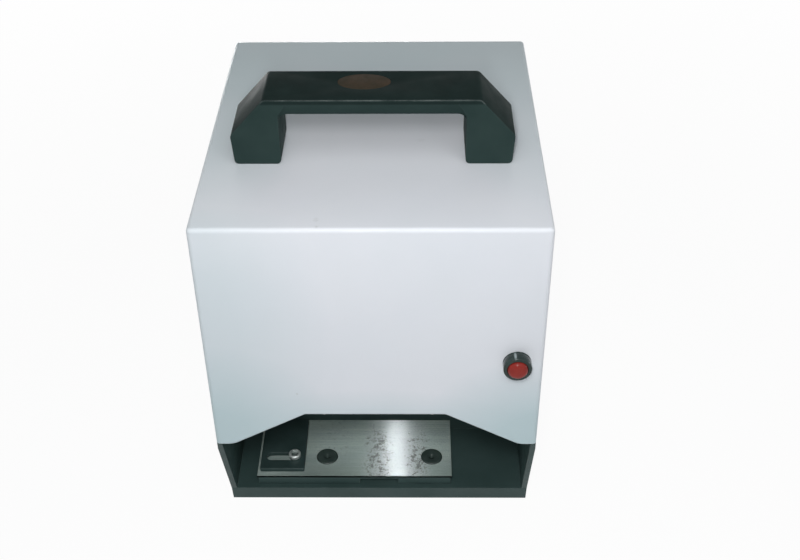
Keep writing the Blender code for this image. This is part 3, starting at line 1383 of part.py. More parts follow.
def make_head():
    """The cast carriage with its gear case, the plate over it, bushes and screw nut."""
    middle = back(PAD_BACK)
    front = middle - CASE_REACH
    rear = middle + CASE_REACH
    post_y = back(POST_BACK)
    floor_top = HEAD_Z + CASE_FLOOR
    outer = rectangle(-CASE_HALF, CASE_HALF, front, rear, CASE_CORNER)
    inner_corner = CASE_CORNER - CASE_WALL
    inner = rectangle(
        -CASE_HALF + CASE_WALL, CASE_HALF - CASE_WALL, front + CASE_WALL, rear - CASE_WALL,
        inner_corner,
    )
    carriage = outline_part("head_carriage", [outer], HEAD_Z, CASE_TOP, "XY", CAST_METAL)
    pocket = outline_part("case_cutter", [inner], floor_top, CASE_TOP + OVERRUN)
    arm_outer = POST_X + ARM_HALF
    web = outline_part(
        "carriage_web",
        [
            [
                (-CASE_HALF + CASE_CORNER / 2, rear - CASE_WALL),
                (CASE_HALF - CASE_CORNER / 2, rear - CASE_WALL),
                (arm_outer, post_y + WINDOW_MARGIN),
                (-arm_outer, post_y + WINDOW_MARGIN),
            ],
        ],
        HEAD_Z + EMBED, floor_top - EMBED,
    )
    join(carriage, web)
    for name, x in (("left", -POST_X), ("right", POST_X)):
        rib = box(
            f"carriage_rib_{name}", (x - ARM_RIB_THICK / 2, rear - CASE_WALL / 2, HEAD_Z + 3 * EMBED),
            (x + ARM_RIB_THICK / 2, post_y - EMBED, CASE_TOP - EMBED),
        )
        join(carriage, rib)
    holes = [pocket]
    for name, x in SPINDLE_XS.items():
        holes.append(rod(
            f"carriage_bearing_cutter_{name}", BALL_BEARING_RADIUS + GAP, HEAD_Z - OVERRUN,
            floor_top + OVERRUN, (x, middle, 0),
        ))
    for side, sign in (("left", -1), ("right", 1)):
        at = (sign * POST_X, post_y, 0)
        sleeve = rod(
            f"sleeve_{side}", SLEEVE_RADIUS, HEAD_Z - SLEEVE_BELOW, HEAD_Z + SLEEVE_ABOVE, at,
        )
        join(carriage, sleeve)
        holes.append(rod(
            f"sleeve_cutter_{side}", BUSH_RADIUS + GAP, HEAD_Z - SLEEVE_BELOW - OVERRUN,
            HEAD_Z + SLEEVE_ABOVE + OVERRUN, at,
        ))
        flange_low = HEAD_Z + SLEEVE_ABOVE + GAP
        running = POST_RADIUS + RUNNING_GAP
        bush_profile = [
            (BUSH_FLANGE_RADIUS, flange_low + BUSH_FLANGE_THICK),
            (BUSH_FLANGE_RADIUS, flange_low),
            (BUSH_RADIUS, flange_low),
            (BUSH_RADIUS, HEAD_Z - SLEEVE_BELOW),
            (running, HEAD_Z - SLEEVE_BELOW),
            (running, flange_low + BUSH_FLANGE_THICK),
        ]
        turned_part(f"post_bush_{side}", bush_profile, at, closed=True, paint=BRONZE)
    screw_at = (0, post_y, 0)
    boss = rod("nut_boss", NUT_BOSS_RADIUS, HEAD_Z - NUT_BOSS_BELOW, floor_top, screw_at)
    join(carriage, boss)
    holes.append(rod(
        "nut_boss_cutter", NUT_RADIUS + GAP, HEAD_Z - NUT_BOSS_BELOW - OVERRUN, floor_top + OVERRUN,
        screw_at,
    ))
    window_near = NUT_BOSS_RADIUS + WINDOW_MARGIN
    window_far = POST_X - SLEEVE_RADIUS - WINDOW_MARGIN
    for sign in (-1, 1):
        holes.append(outline_part(
            "web_window_cutter",
            [filleted(
                [
                    (sign * window_near, rear + CASE_WALL),
                    (sign * window_far, rear + CASE_WALL),
                    (sign * window_far, post_y - ARM_HALF / 2),
                    (sign * window_near, post_y - ARM_HALF / 2),
                ],
                [CASE_WALL] * 4, 1,
            )],
            HEAD_Z - OVERRUN, floor_top + OVERRUN,
        ))
    cut(carriage, *holes, solver="MANIFOLD")
    pivot(carriage, (0, post_y, HEAD_Z))

    nut_flange_low = floor_top + GAP
    screw_clear = SCREW_RADIUS + RUNNING_GAP
    nut_profile = [
        (NUT_FLANGE_RADIUS, nut_flange_low + NUT_FLANGE_THICK),
        (NUT_FLANGE_RADIUS, nut_flange_low),
        (NUT_RADIUS, nut_flange_low),
        (NUT_RADIUS, HEAD_Z - NUT_BOSS_BELOW),
        (screw_clear, HEAD_Z - NUT_BOSS_BELOW),
        (screw_clear, nut_flange_low + NUT_FLANGE_THICK),
    ]
    turned_part("screw_nut", nut_profile, screw_at, closed=True, paint=BRONZE)

    plate_holes = [circle(BALL_BEARING_RADIUS + GAP, (x, middle)) for x in SPINDLE_XS.values()]
    plate_holes.append(circle(TOOL_MOTOR_NOSE_RADIUS + GAP, (0, middle)))
    plate = outline_part(
        "head_plate", [outer, *plate_holes], HEAD_PLATE_Z, HEAD_PLATE_TOP, "XY", CAST_METAL,
    )
    pivot(plate, (0, middle, HEAD_PLATE_Z))


def make_tool_motor():
    """The motor over the head plate and the pinion on its shaft."""
    middle = back(PAD_BACK)
    at = (0, middle, 0)
    low = HEAD_PLATE_TOP + GAP
    high = COVER_TOP - TOOL_MOTOR_BELOW - TOOL_MOTOR_CAP_HEIGHT
    nose_low = low - TOOL_MOTOR_NOSE_LENGTH
    profile = [
        (0, high + TOOL_MOTOR_CAP_HEIGHT),
        (TOOL_MOTOR_CAP_RADIUS, high + TOOL_MOTOR_CAP_HEIGHT),
        (TOOL_MOTOR_CAP_RADIUS, high),
        (TOOL_MOTOR_RADIUS - MOTOR_EDGE, high),
        (TOOL_MOTOR_RADIUS, high - MOTOR_EDGE),
        (TOOL_MOTOR_RADIUS, low),
        (TOOL_MOTOR_NOSE_RADIUS, low),
        (TOOL_MOTOR_NOSE_RADIUS, nose_low),
        (0, nose_low),
    ]
    motor = turned_part("tool_motor", profile, at, paint=LAMINATIONS)
    brush_z = low + (high - low) * BRUSH_SHARE
    reach = TOOL_MOTOR_RADIUS + BRUSH_PROUD
    brushes = box(
        "brush_caps", (-BRUSH_HALF, middle - reach, brush_z - BRUSH_HALF),
        (BRUSH_HALF, middle + reach, brush_z + BRUSH_HALF),
    )
    join(motor, brushes)
    seat_top = low + (high - low) * TOOL_SHAFT_SEAT_SHARE
    seat = rod(
        "tool_shaft_cutter", TOOL_SHAFT_RADIUS + RUNNING_GAP, nose_low - OVERRUN, seat_top, at,
        steps=SMALL_STEPS,
    )
    cut(motor, seat)
    pivot(motor, (0, middle, low))

    pinion = outline_part(
        "drive_pinion",
        [gear_outline(PINION_TEETH, TOOL_MODULE, (0, middle), 0)],
        TOOL_GEAR_Z, TOOL_GEAR_Z + TOOL_GEAR_THICK, "XY", BRIGHT_STEEL,
    )
    shaft = rod(
        "drive_shaft", TOOL_SHAFT_RADIUS, TOOL_GEAR_Z + EMBED, seat_top - GAP, at,
        steps=SMALL_STEPS,
    )
    join(pinion, shaft)
    pivot(pinion, (0, middle, TOOL_GEAR_Z))


def make_spindles():
    """Each side's gear, hollow spindle with chuck, hollow bit, bearings and chip cup."""
    middle = back(PAD_BACK)
    bearing_inset = (CASE_FLOOR - BALL_BEARING_WIDTH) / 2
    lower_bearing = HEAD_Z + bearing_inset
    upper_bearing = HEAD_PLATE_Z + (HEAD_PLATE_THICK - BALL_BEARING_WIDTH) / 2
    spindle_top = HEAD_PLATE_TOP + SPINDLE_ABOVE_PLATE
    chuck_top = lower_bearing - GAP
    fitted = SPINDLE_RADIUS + GAP
    for name, x in SPINDLE_XS.items():
        at = (x, middle, 0)
        gear = outline_part(
            f"spindle_gear_{name}",
            [
                gear_outline(GEAR_TEETH, TOOL_MODULE, (x, middle), math.pi / GEAR_TEETH),
                circle(fitted, (x, middle)),
            ],
            TOOL_GEAR_Z, TOOL_GEAR_Z + TOOL_GEAR_THICK, "XY", BRIGHT_STEEL,
        )
        hub = tube(
            f"spindle_hub_{name}", TOOL_HUB_RADIUS, fitted + GAP,
            TOOL_GEAR_Z - TOOL_HUB_HEIGHT, TOOL_GEAR_Z + EMBED, at,
        )
        join(gear, hub)
        pivot(gear, (x, middle, TOOL_GEAR_Z))

        bore_low = CHUCK_NOSE + BIT_IN_CHUCK + GAP
        bit_fit = BIT_RADIUS + GAP
        spindle_profile = [
            (SPINDLE_RADIUS, spindle_top),
            (SPINDLE_RADIUS, chuck_top),
            (CHUCK_RADIUS, chuck_top - CHUCK_SHOULDER),
            (CHUCK_RADIUS, CHUCK_NOSE + CHUCK_NOSE_LENGTH),
            (CHUCK_NOSE_RADIUS, CHUCK_NOSE),
            (bit_fit, CHUCK_NOSE),
            (bit_fit, bore_low),
            (BIT_BORE, bore_low + SPINDLE_BORE),
            (SPINDLE_BORE, spindle_top - SPINDLE_BORE),
            (SPINDLE_BORE, spindle_top),
        ]
        spindle = turned_part(
            f"spindle_{name}", spindle_profile, at, closed=True, paint=BRIGHT_STEEL,
        )
        pivot(spindle, (x, middle, CHUCK_NOSE))

        bit_profile = [
            (BIT_RADIUS, CHUCK_NOSE + BIT_IN_CHUCK),
            (BIT_RADIUS, BIT_TIP + BIT_TAPER),
            (BIT_EDGE, BIT_TIP),
            (BIT_EDGE_BORE, BIT_TIP),
            (BIT_BORE, BIT_TIP + BIT_TAPER),
            (BIT_BORE, CHUCK_NOSE + BIT_IN_CHUCK),
        ]
        bit = turned_part(
            f"hollow_bit_{name}", bit_profile, at, steps=SMALL_STEPS, closed=True,
            paint=BRIGHT_STEEL,
        )
        pivot(bit, (x, middle, BIT_TIP))

        for level, low in (("lower", lower_bearing), ("upper", upper_bearing)):
            tube(
                f"bearing_{level}_{name}", BALL_BEARING_RADIUS, fitted, low,
                low + BALL_BEARING_WIDTH, at, paint=BRIGHT_STEEL,
            )

        cup_low = HEAD_PLATE_TOP + GAP
        neck = SPINDLE_RADIUS + 2 * RUNNING_GAP
        cup_profile = [
            (CUP_RADIUS, cup_low + CUP_HEIGHT),
            (CUP_RADIUS, cup_low),
            (neck, cup_low),
            (neck, cup_low + CUP_NECK_RISE),
            (neck + CUP_WALL, cup_low + CUP_NECK_RISE),
            (neck + CUP_WALL, cup_low + CUP_WALL),
            (CUP_RADIUS - CUP_WALL, cup_low + CUP_WALL),
            (CUP_RADIUS - CUP_WALL, cup_low + CUP_HEIGHT),
        ]
        turned_part(f"chip_cup_{name}", cup_profile, at, "up", SMALL_STEPS, True, BLACK_PLASTIC)


def make_electrics():
    """Control board, transformer and the rail with the head's two limit switches."""
    floor = BOTTOM_PLATE_TOP + GAP
    board_low = floor + BOARD_LIFT
    board_top = board_low + BOARD_THICK
    length = BOARD_LEFT - BOARD_RIGHT
    depth = BOARD_REAR - BOARD_FRONT
    board = box(
        "control_board", (-BOARD_LEFT, back(BOARD_FRONT), board_low),
        (-BOARD_RIGHT, back(BOARD_REAR), board_top), BOARD_GREEN,
    )
    leg_xs = (-BOARD_LEFT + BOARD_LEG_INSET, -BOARD_RIGHT - BOARD_LEG_INSET)
    leg_ys = (back(BOARD_FRONT) + BOARD_LEG_INSET, back(BOARD_REAR) - BOARD_LEG_INSET)
    for column, x in enumerate(leg_xs):
        for row, y in enumerate(leg_ys):
            leg = rod(
                f"board_leg_{column}_{row}", BOARD_LEG / 2, floor, board_low + EMBED, (x, y, 0),
                steps=6,
            )
            join(board, leg)

    def on_board(shares):
        return (-BOARD_LEFT + length * shares[0], back(BOARD_FRONT) + depth * shares[1])

    blocks = [("relay", RELAY_SIZE, shares) for shares in RELAY_SHARES]
    blocks.append(("terminals", TERMINAL_SIZE, TERMINAL_SHARES))
    for label, size, shares in blocks:
        x, y = on_board(shares)
        block = box(
            label, (x - size[0] / 2, y - size[1] / 2, board_top - EMBED),
            (x + size[0] / 2, y + size[1] / 2, board_top + size[2]),
        )
        join(board, block)
    capacitor = rod(
        "capacitor", CAPACITOR_RADIUS, board_top - EMBED, board_top + CAPACITOR_HEIGHT,
        (*on_board(CAPACITOR_SHARES), 0), steps=SMALL_STEPS,
    )
    join(board, capacitor)

    middle_z = floor + TRANSFORMER_HEIGHT / 2
    window_near = CENTRE_LEG / 2
    window_far = window_near + WINDOW_WIDTH
    windows = [
        rectangle(
            TRANSFORMER_X + near, TRANSFORMER_X + far,
            middle_z - WINDOW_HEIGHT / 2, middle_z + WINDOW_HEIGHT / 2,
        )
        for near, far in ((-window_far, -window_near), (window_near, window_far))
    ]
    core_outline = rectangle(
        TRANSFORMER_X - TRANSFORMER_WIDTH / 2, TRANSFORMER_X + TRANSFORMER_WIDTH / 2,
        floor, floor + TRANSFORMER_HEIGHT,
    )
    stack_front = back(TRANSFORMER_BACK)
    stack_rear = stack_front + TRANSFORMER_STACK
    core = outline_part("transformer", [core_outline, *windows], stack_front, stack_rear, "XZ", LAMINATIONS)
    bobbin_half = window_far - BOBBIN_CLEAR
    bobbin_rise = WINDOW_HEIGHT / 2 - BOBBIN_CLEAR
    bobbin = box(
        "bobbin", (TRANSFORMER_X - bobbin_half, stack_front - BOBBIN_REACH, middle_z - bobbin_rise),
        (TRANSFORMER_X + bobbin_half, stack_rear + BOBBIN_REACH, middle_z + bobbin_rise),
    )
    bevelled(bobbin, BOBBIN_EDGE)
    join(core, bobbin)

    rail_foot_z = FRAME_TOP + GAP
    rail_low_y = back(RAIL_BACK) - RAIL_WIDTH / 2
    rail_high_y = rail_low_y + RAIL_WIDTH
    outline = [
        (RAIL_X - RAIL_FOOT, rail_foot_z),
        (RAIL_X + RAIL_THICK, rail_foot_z),
        (RAIL_X + RAIL_THICK, RAIL_TOP),
        (RAIL_X, RAIL_TOP),
        (RAIL_X, rail_foot_z + RAIL_THICK),
        (RAIL_X - RAIL_FOOT, rail_foot_z + RAIL_THICK),
    ]
    rail = outline_part("limit_switch_rail", [outline], rail_low_y, rail_high_y, "XZ", CAST_METAL)
    size = SWITCH_BLOCK_SIZE
    sleeve_low = HEAD_Z - SLEEVE_BELOW - HEAD_STROKE
    for level, z in (
        ("upper", SLEEVE_TOP + SWITCH_BLOCK_OFFSET),
        ("lower", sleeve_low - SWITCH_BLOCK_OFFSET),
    ):
        middle_y = (rail_low_y + rail_high_y) / 2
        block = box(
            f"limit_switch_{level}", (RAIL_X - size[0], middle_y - size[1] / 2, z - size[2] / 2),
            (RAIL_X + EMBED, middle_y + size[1] / 2, z + size[2] / 2),
        )
        roller = rod(
            f"limit_roller_{level}", SWITCH_ROLLER, -size[1] / 4, size[1] / 4,
            (RAIL_X - size[0], middle_y, z), "rear", SMALL_STEPS,
        )
        join(rail, block, roller)


make_cover()
make_cover_screws()
make_base_housing()
make_bottom_plate()
make_feet()
make_ceiling()
make_table()
make_side_guide()
make_handle()
make_start_button()
make_mains_inlet()
make_power_switch()
make_frame()
make_feed_drive()
make_head()
make_tool_motor()
make_spindles()
make_electrics()
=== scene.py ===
import math

import bmesh
import bpy
from mathutils import Matrix, Vector


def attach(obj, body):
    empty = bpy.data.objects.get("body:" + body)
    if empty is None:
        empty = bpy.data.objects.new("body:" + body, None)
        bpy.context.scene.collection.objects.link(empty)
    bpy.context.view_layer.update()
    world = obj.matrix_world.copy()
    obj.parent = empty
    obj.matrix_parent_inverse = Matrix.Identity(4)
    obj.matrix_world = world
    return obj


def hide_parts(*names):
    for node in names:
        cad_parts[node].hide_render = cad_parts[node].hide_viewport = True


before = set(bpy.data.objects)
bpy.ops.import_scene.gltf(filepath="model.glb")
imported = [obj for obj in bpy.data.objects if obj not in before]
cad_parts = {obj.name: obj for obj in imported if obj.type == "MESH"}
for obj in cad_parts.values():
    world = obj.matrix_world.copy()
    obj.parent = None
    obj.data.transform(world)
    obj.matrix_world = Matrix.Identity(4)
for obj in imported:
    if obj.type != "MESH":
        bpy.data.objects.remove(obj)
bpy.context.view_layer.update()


# The photographer stands before the machine and looks down at it from about
# 0.7 m with a normal lens, the picture a little turned and tilted.
lens = bpy.data.cameras.new("photographer")
lens.lens = 51.88
lens.sensor_width = 36
lens.clip_start = 0.01
photographer = bpy.data.objects.new("photographer", lens)
photographer.matrix_world = (
    Matrix.Translation((0.02588, -0.69189, 0.67131))
    @ Matrix.Rotation(math.radians(0.821), 4, "Z")
    @ Matrix.Rotation(math.radians(52.419), 4, "X")
    @ Matrix.Rotation(math.radians(-0.529), 4, "Z")
)
bpy.context.collection.objects.link(photographer)
bpy.context.scene.camera = photographer
bpy.context.scene.view_settings.view_transform = "Standard"


# A white sweep of studio paper lies under the machine and runs on to the
# horizon. It shows plain white and keeps the soft shadow round the machine.
def node(tree, kind, operation=None, **inputs):
    """A shader node with its inputs set: a socket is wired in, a value is written in."""
    made = tree.nodes.new("ShaderNode" + kind)
    if operation:
        made.operation = operation
    for name, value in inputs.items():
        numbered = name[0] == "i" and name[1:].isdigit()
        socket = made.inputs[int(name[1:]) if numbered else name.replace("_", " ")]
        if isinstance(value, bpy.types.NodeSocket):
            tree.links.new(value, socket)
        else:
            socket.default_value = value
    return made


def most_of(tree, first, second):
    """The larger of two numbers."""
    return node(tree, "Math", "MAXIMUM", i0=first, i1=second).outputs[0]


def product(tree, first, second):
    """One number times another."""
    return node(tree, "Math", "MULTIPLY", i0=first, i1=second).outputs[0]


def stretched(tree, value, low, high, to_low=0.0, to_high=1.0):
    """A number moved from one span to another, and held inside the second."""
    span = node(tree, "MapRange", Value=value, From_Min=low, From_Max=high, To_Min=to_low, To_Max=to_high)
    return span.outputs[0]


def looked_at(tree):
    """1 where a thing is seen, straight or in a gloss, and 0 where it only gives light."""
    path = node(tree, "LightPath")
    seen = most_of(tree, path.outputs["Is Camera Ray"], path.outputs["Is Glossy Ray"])
    return most_of(tree, seen, path.outputs["Is Transmission Ray"])


paper_half = 6
paper_mesh = bpy.data.meshes.new("paper_sweep")
paper_corners = [(x * paper_half, y * paper_half, 0) for x, y in ((-1, -1), (1, -1), (1, 1), (-1, 1))]
paper_mesh.from_pydata(paper_corners, [], [(0, 1, 2, 3)])
paper_sweep = bpy.data.objects.new("paper_sweep", paper_mesh)
bpy.context.collection.objects.link(paper_sweep)
paper = bpy.data.materials.new("studio_paper")
paper.use_nodes = True
tree = paper.node_tree
tree.nodes.clear()
place = node(tree, "TexCoord")
from_machine = node(tree, "VectorMath", "LENGTH", i0=place.outputs["Object"])
plain_share = stretched(tree, from_machine.outputs["Value"], 0.35, 1.2, 0.95)
share = product(tree, looked_at(tree), plain_share)
matt = node(tree, "BsdfDiffuse", Color=(0.86, 0.87, 0.88, 1))
plain_white = node(tree, "Emission", Color=(1, 1, 1, 1), Strength=1.0)
mixed = node(tree, "MixShader", i0=share, i1=matt.outputs[0], i2=plain_white.outputs[0])
node(tree, "OutputMaterial", Surface=mixed.outputs[0])
paper_mesh.materials.append(paper)


# The studio: a pale room with a narrow strip of light at the lens. Soft lamps
# stand above it and to its right, one over the machine's front edge, and weak
# low ones at its sides and behind it.
room = bpy.data.worlds.new("pale_room")
room.use_nodes = True
bpy.context.scene.world = room
tree = room.node_tree
tree.nodes.clear()
fill = node(tree, "Background", Color=(0.90, 0.96, 1.0, 1), Strength=0.06)
white = node(tree, "Background", Color=(1, 1, 1, 1), Strength=1.0)
mixed = node(tree, "MixShader", i0=looked_at(tree), i1=fill.outputs[0], i2=white.outputs[0])
node(tree, "OutputWorld", Surface=mixed.outputs[0])


def studio_lamp(name, place, aim, width, height, watts):
    """A soft rectangular lamp that shines from its place to what it aims at."""
    light = bpy.data.lights.new(name, "AREA")
    light.shape = "RECTANGLE"
    light.size = width
    light.size_y = height
    light.energy = watts
    lamp = bpy.data.objects.new(name, light)
    lamp.location = place
    lamp.rotation_euler = (Vector(aim) - Vector(place)).to_track_quat("-Z", "Y").to_euler()
    bpy.context.collection.objects.link(lamp)


studio_lamp("strip_beside_lens", (0.0, -0.66, 0.65), (0.0, -0.10, 0.12), 0.03, 0.22, 2.65)
studio_lamp("lamp_above_lens", (-0.02, -0.62, 0.775), (0.0, -0.10, 0.20), 0.20, 0.14, 1.25)
studio_lamp("lamp_right_of_lens", (0.36, -0.58, 0.60), (0.0, -0.10, 0.12), 0.20, 0.20, 0.25)
studio_lamp("lamp_over_front_edge", (0.03, -0.28, 0.68), (0.0, -0.08, 0.27), 0.52, 0.44, 0.80)
studio_lamp("lamp_left_side", (-1.3, 0.35, 0.13), (0, 0.1, 0.13), 0.6, 0.24, 2.6)
studio_lamp("lamp_right_side", (1.3, 0.35, 0.25), (0, 0.1, 0.15), 0.6, 0.24, 3.6)
studio_lamp("lamp_behind", (-0.35, 1.3, 0.13), (0, 0.1, 0.13), 0.8, 0.24, 6.5)


# Four black rubber feet, each moulded with a pocket for the zinc-plated screw
# that holds it to the bottom plate. They are matt, dusty along their rims.
def tones(tree, dark, light, scale, detail=3.0, stretch=(1, 1, 1), narrow=0.3):
    """A finish's colour or gloss, drifting between two values as a soft cloud does."""
    place = node(tree, "TexCoord")
    turned = node(tree, "Mapping", Vector=place.outputs["Object"], Scale=stretch)
    cloud = node(tree, "TexNoise", Vector=turned.outputs[0], Scale=scale, Detail=detail)
    ramp = node(tree, "ValToRGB", Fac=cloud.outputs["Fac"])
    stops = ramp.color_ramp.elements
    for stop, tone, position in ((stops[0], dark, 0.5 - narrow / 2), (stops[1], light, 0.5 + narrow / 2)):
        stop.position = position
        stop.color = (*tone, 1) if isinstance(tone, tuple) else (tone, tone, tone, 1)
    return ramp.outputs[0]


def edge_wear_and_painted_light(tree, reach, wear_and_painted_light_share):
    """As much as asked along the edges of a piece, in patches: rubbed wear on most pieces, painted shade on
    the cover's folds and a painted highlight on the handle's top edges.
    """
    soft = node(tree, "Bevel", Radius=reach)
    soft.samples = 6
    flat = node(tree, "NewGeometry")
    turn = node(tree, "VectorMath", "DOT_PRODUCT", i0=soft.outputs[0], i1=flat.outputs["Normal"])
    edge_share = stretched(tree, turn.outputs["Value"], 0.985, 0.90, to_high=wear_and_painted_light_share)
    return product(tree, edge_share, tones(tree, 0.15, 1.0, 90.0, 4.0))


def mix_colour(tree, share, first, second):
    """Two colours mixed by a share, which may be a value or a socket."""
    mixed = node(tree, "MixRGB", Fac=share)
    for socket, colour in zip(mixed.inputs[1:], (first, second)):
        if isinstance(colour, bpy.types.NodeSocket):
            tree.links.new(colour, socket)
        else:
            socket.default_value = (*colour, 1)
    return mixed.outputs[0]


def grained_surface(tree, shader, grain, height, rounding, stretch=(1, 1, 1), strength=0.35):
    """The fine grain of a moulded or coated surface, and its softly rounded edges."""
    place = node(tree, "TexCoord")
    turned = node(tree, "Mapping", Vector=place.outputs["Object"], Scale=stretch)
    fine = node(tree, "TexNoise", Vector=turned.outputs[0], Scale=grain, Detail=2.0)
    edge = node(tree, "Bevel", Radius=rounding)
    edge.samples = 4
    bump = node(
        tree, "Bump", Strength=strength, Distance=height, Height=fine.outputs["Fac"], Normal=edge.outputs[0],
    )
    tree.links.new(bump.outputs[0], shader.inputs["Normal"])


def new_finish(name):
    """A fresh material, with its node tree and its shader."""
    material = bpy.data.materials.new(name)
    material.use_nodes = True
    return material, material.node_tree, material.node_tree.nodes["Principled BSDF"]


def finish(name, colours, gloss, metal=0.0, cloud=30.0, grain=1400.0, height=0.00008, rounding=0.0004,
           specular=0.5, wear=None, stretch=(1, 1, 1)):
    """A painted, moulded or machined finish: drifting colour and gloss, grain and worn edges."""
    material, tree, shader = new_finish(name)
    gloss_cloud = cloud * 2.7
    colour = tones(tree, *colours, cloud, stretch=stretch)
    if wear:
        bare_colour, reach, wear_and_painted_light_share = wear
        colour = mix_colour(tree, edge_wear_and_painted_light(tree, reach, wear_and_painted_light_share), colour, bare_colour)
    tree.links.new(colour, shader.inputs["Base Color"])
    tree.links.new(tones(tree, *gloss, gloss_cloud, 4.0, stretch), shader.inputs["Roughness"])
    shader.inputs["Metallic"].default_value = metal
    shader.inputs["Specular IOR Level"].default_value = specular
    grained_surface(tree, shader, grain, height, rounding, stretch)
    return material


def stand_in_place(piece, body, slot_name, *solids):
    """The piece rides on its body and stands for the solids of the frame that it replaces."""
    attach(piece, body)
    if solids:
        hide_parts(*solids)


def facing(way):
    """The turn that points a piece's own upward axis up, left, right or ahead."""
    angle, axis = {"up": (0, "X"), "ahead": (90, "X"), "right": (90, "Y"), "left": (-90, "Y")}[way]
    return Matrix.Rotation(math.radians(angle), 4, axis)


def smooth_between_edges(piece, edge_angle=38):
    """Smooth shading on a piece, but for edges that turn by more than an angle in degrees."""
    piece.data.shade_smooth()
    piece.data.set_sharp_from_angle(angle=math.radians(edge_angle))


def into_piece(name, shape, material):
    """A finished piece from a bmesh, its faces outward, smooth but for its sharp edges."""
    bmesh.ops.recalc_face_normals(shape, faces=shape.faces)
    mesh = bpy.data.meshes.new(name)
    shape.to_mesh(mesh)
    shape.free()
    mesh.materials.append(material)
    piece = bpy.data.objects.new(name, mesh)
    bpy.context.collection.objects.link(piece)
    smooth_between_edges(piece)
    return piece


def turned(name, profile, at, way, steps, material):
    """A turned piece from a profile of (radius, height) pairs, round an axis that points one way."""
    shape = bmesh.new()
    angles = [2 * math.pi * step / steps for step in range(steps)]
    rings = []
    for radius, height in profile:
        around = [(radius * math.cos(angle), radius * math.sin(angle), height) for angle in angles]
        rings.append([shape.verts.new(point) for point in (around if radius else [(0, 0, height)])])
    pairs = list(zip(rings, rings[1:]))
    if len(rings[0]) > 1 and len(rings[-1]) > 1:
        pairs.append((rings[-1], rings[0]))
    for lower, upper in pairs:
        for i in range(steps):
            j = (i + 1) % steps
            walk = ((lower, i), (lower, j), (upper, j), (upper, i))
            corners = list(dict.fromkeys(ring[k % len(ring)] for ring, k in walk))
            if len(corners) > 2:
                shape.faces.new(corners)
    bmesh.ops.transform(shape, matrix=Matrix.Translation(at) @ facing(way), verts=shape.verts)
    return into_piece(name, shape, material)


weld_reach = 2e-6


def settle(piece):
    """Makes a piece's modifiers part of its mesh, and welds the slivers that they leave."""
    bpy.context.view_layer.update()
    shaped = bpy.data.meshes.new_from_object(piece.evaluated_get(bpy.context.evaluated_depsgraph_get()))
    piece.modifiers.clear()
    piece.data = shaped
    welded = bmesh.new()
    welded.from_mesh(shaped)
    bmesh.ops.remove_doubles(welded, verts=welded.verts, dist=weld_reach)
    welded.to_mesh(shaped)
    welded.free()


def cut_away(piece, *cutters):
    """Cuts the cutters' shapes out of a piece for good, and clears the cutters away."""
    for cutter in cutters:
        cut = piece.modifiers.new("cut", "BOOLEAN")
        cut.operation = "DIFFERENCE"
        cut.solver = "EXACT"
        cut.object = cutter
    settle(piece)
    smooth_between_edges(piece)
    for cutter in cutters:
        bpy.data.objects.remove(cutter)


def cross_recess(at, way, across, deep):
    """Cutters for the cross of a screw head, standing in its face."""
    arm_width = across * 0.24
    cutters = []
    for turn in (20, 110):
        shape = bmesh.new()
        bmesh.ops.create_cube(shape, size=1)
        size = Matrix.Diagonal((across, arm_width, deep * 2, 1))
        spin = Matrix.Rotation(math.radians(turn), 4, "Z")
        placed = Matrix.Translation(at) @ facing(way) @ spin @ size
        bmesh.ops.transform(shape, matrix=placed, verts=shape.verts)
        cutters.append(into_piece("recess", shape, screw_zinc))
    return cutters


foot_rubber = finish(
    "foot_rubber", ((0.016, 0.016, 0.016), (0.030, 0.029, 0.028)), (0.78, 0.92), cloud=140.0, grain=2600.0,
    height=0.00015, specular=0.3, wear=((0.09, 0.088, 0.085), 0.0008, 0.5),
)
screw_zinc = finish(
    "zinc_plated_screws", ((0.50, 0.52, 0.53), (0.66, 0.67, 0.67)), (0.22, 0.36), 1.0, cloud=260.0,
    grain=3500.0, height=0.00002, rounding=0.0002,
)
foot_profile = [
    (0, 0.0018), (0.0042, 0.0018), (0.0044, 0.0016), (0.0046, 0.0003), (0.0050, 0), (0.0074, 0),
    (0.0078, 0.00025), (0.0082, 0.00025), (0.0086, 0), (0.0094, 0), (0.0099, 0.00015), (0.0102, 0.0006),
    (0.0109, 0.0031), (0.0107, 0.0036), (0.0103, 0.0037), (0, 0.0037),
]
foot_screw_face = 0.0007
foot_screw_profile = [
    (0, foot_screw_face), (0.0016, 0.00075), (0.0026, 0.0010), (0.0031, 0.0014), (0.0032, 0.0018),
    (0.0032, 0.0021), (0, 0.0021),
]
for end, y in (("front", -0.066436), ("rear", 0.106564)):
    for side, x in (("left", -0.08965), ("right", 0.08965)):
        foot = turned(f"rubber_foot_{end}_{side}", foot_profile, (x, y, 0), "up", 48, foot_rubber)
        stand_in_place(foot, "base", "rubber", f"foot_{end}_{side}")
        foot_screw = turned(f"foot_screw_{end}_{side}", foot_screw_profile, (x, y, 0), "up", 28, screw_zinc)
        cut_away(foot_screw, *cross_recess((x, y, foot_screw_face), "up", 0.0036, 0.0008))
        stand_in_place(foot_screw, "base", "bright_steel")


# The black housing under the cover: sheet steel, folded and welded, with the
# open throat at its front. It is powder coated, rubbed paler along its edges.
housing_coat = finish(
    "housing_powder_coat", ((0.035, 0.063, 0.060), (0.047, 0.079, 0.076)), (0.36, 0.50), cloud=22.0,
    grain=1300.0, height=0.00012, rounding=0.0006, specular=0.12, wear=((0.085, 0.115, 0.110), 0.0014, 0.5),
)
bottom_coat = finish(
    "bottom_plate_coat", ((0.020, 0.027, 0.026), (0.032, 0.040, 0.038)), (0.42, 0.60), cloud=14.0,
    grain=1100.0, height=0.0001, specular=0.35, wear=((0.10, 0.11, 0.11), 0.001, 0.6),
)


def coat(material, *names):
    """Gives solids of the frame their finish."""
    for name in names:
        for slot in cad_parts[name].material_slots:
            slot.material = material


coat(housing_coat, "base_housing", "throat_ceiling", "frame_foot")
coat(bottom_coat, "bottom_plate")
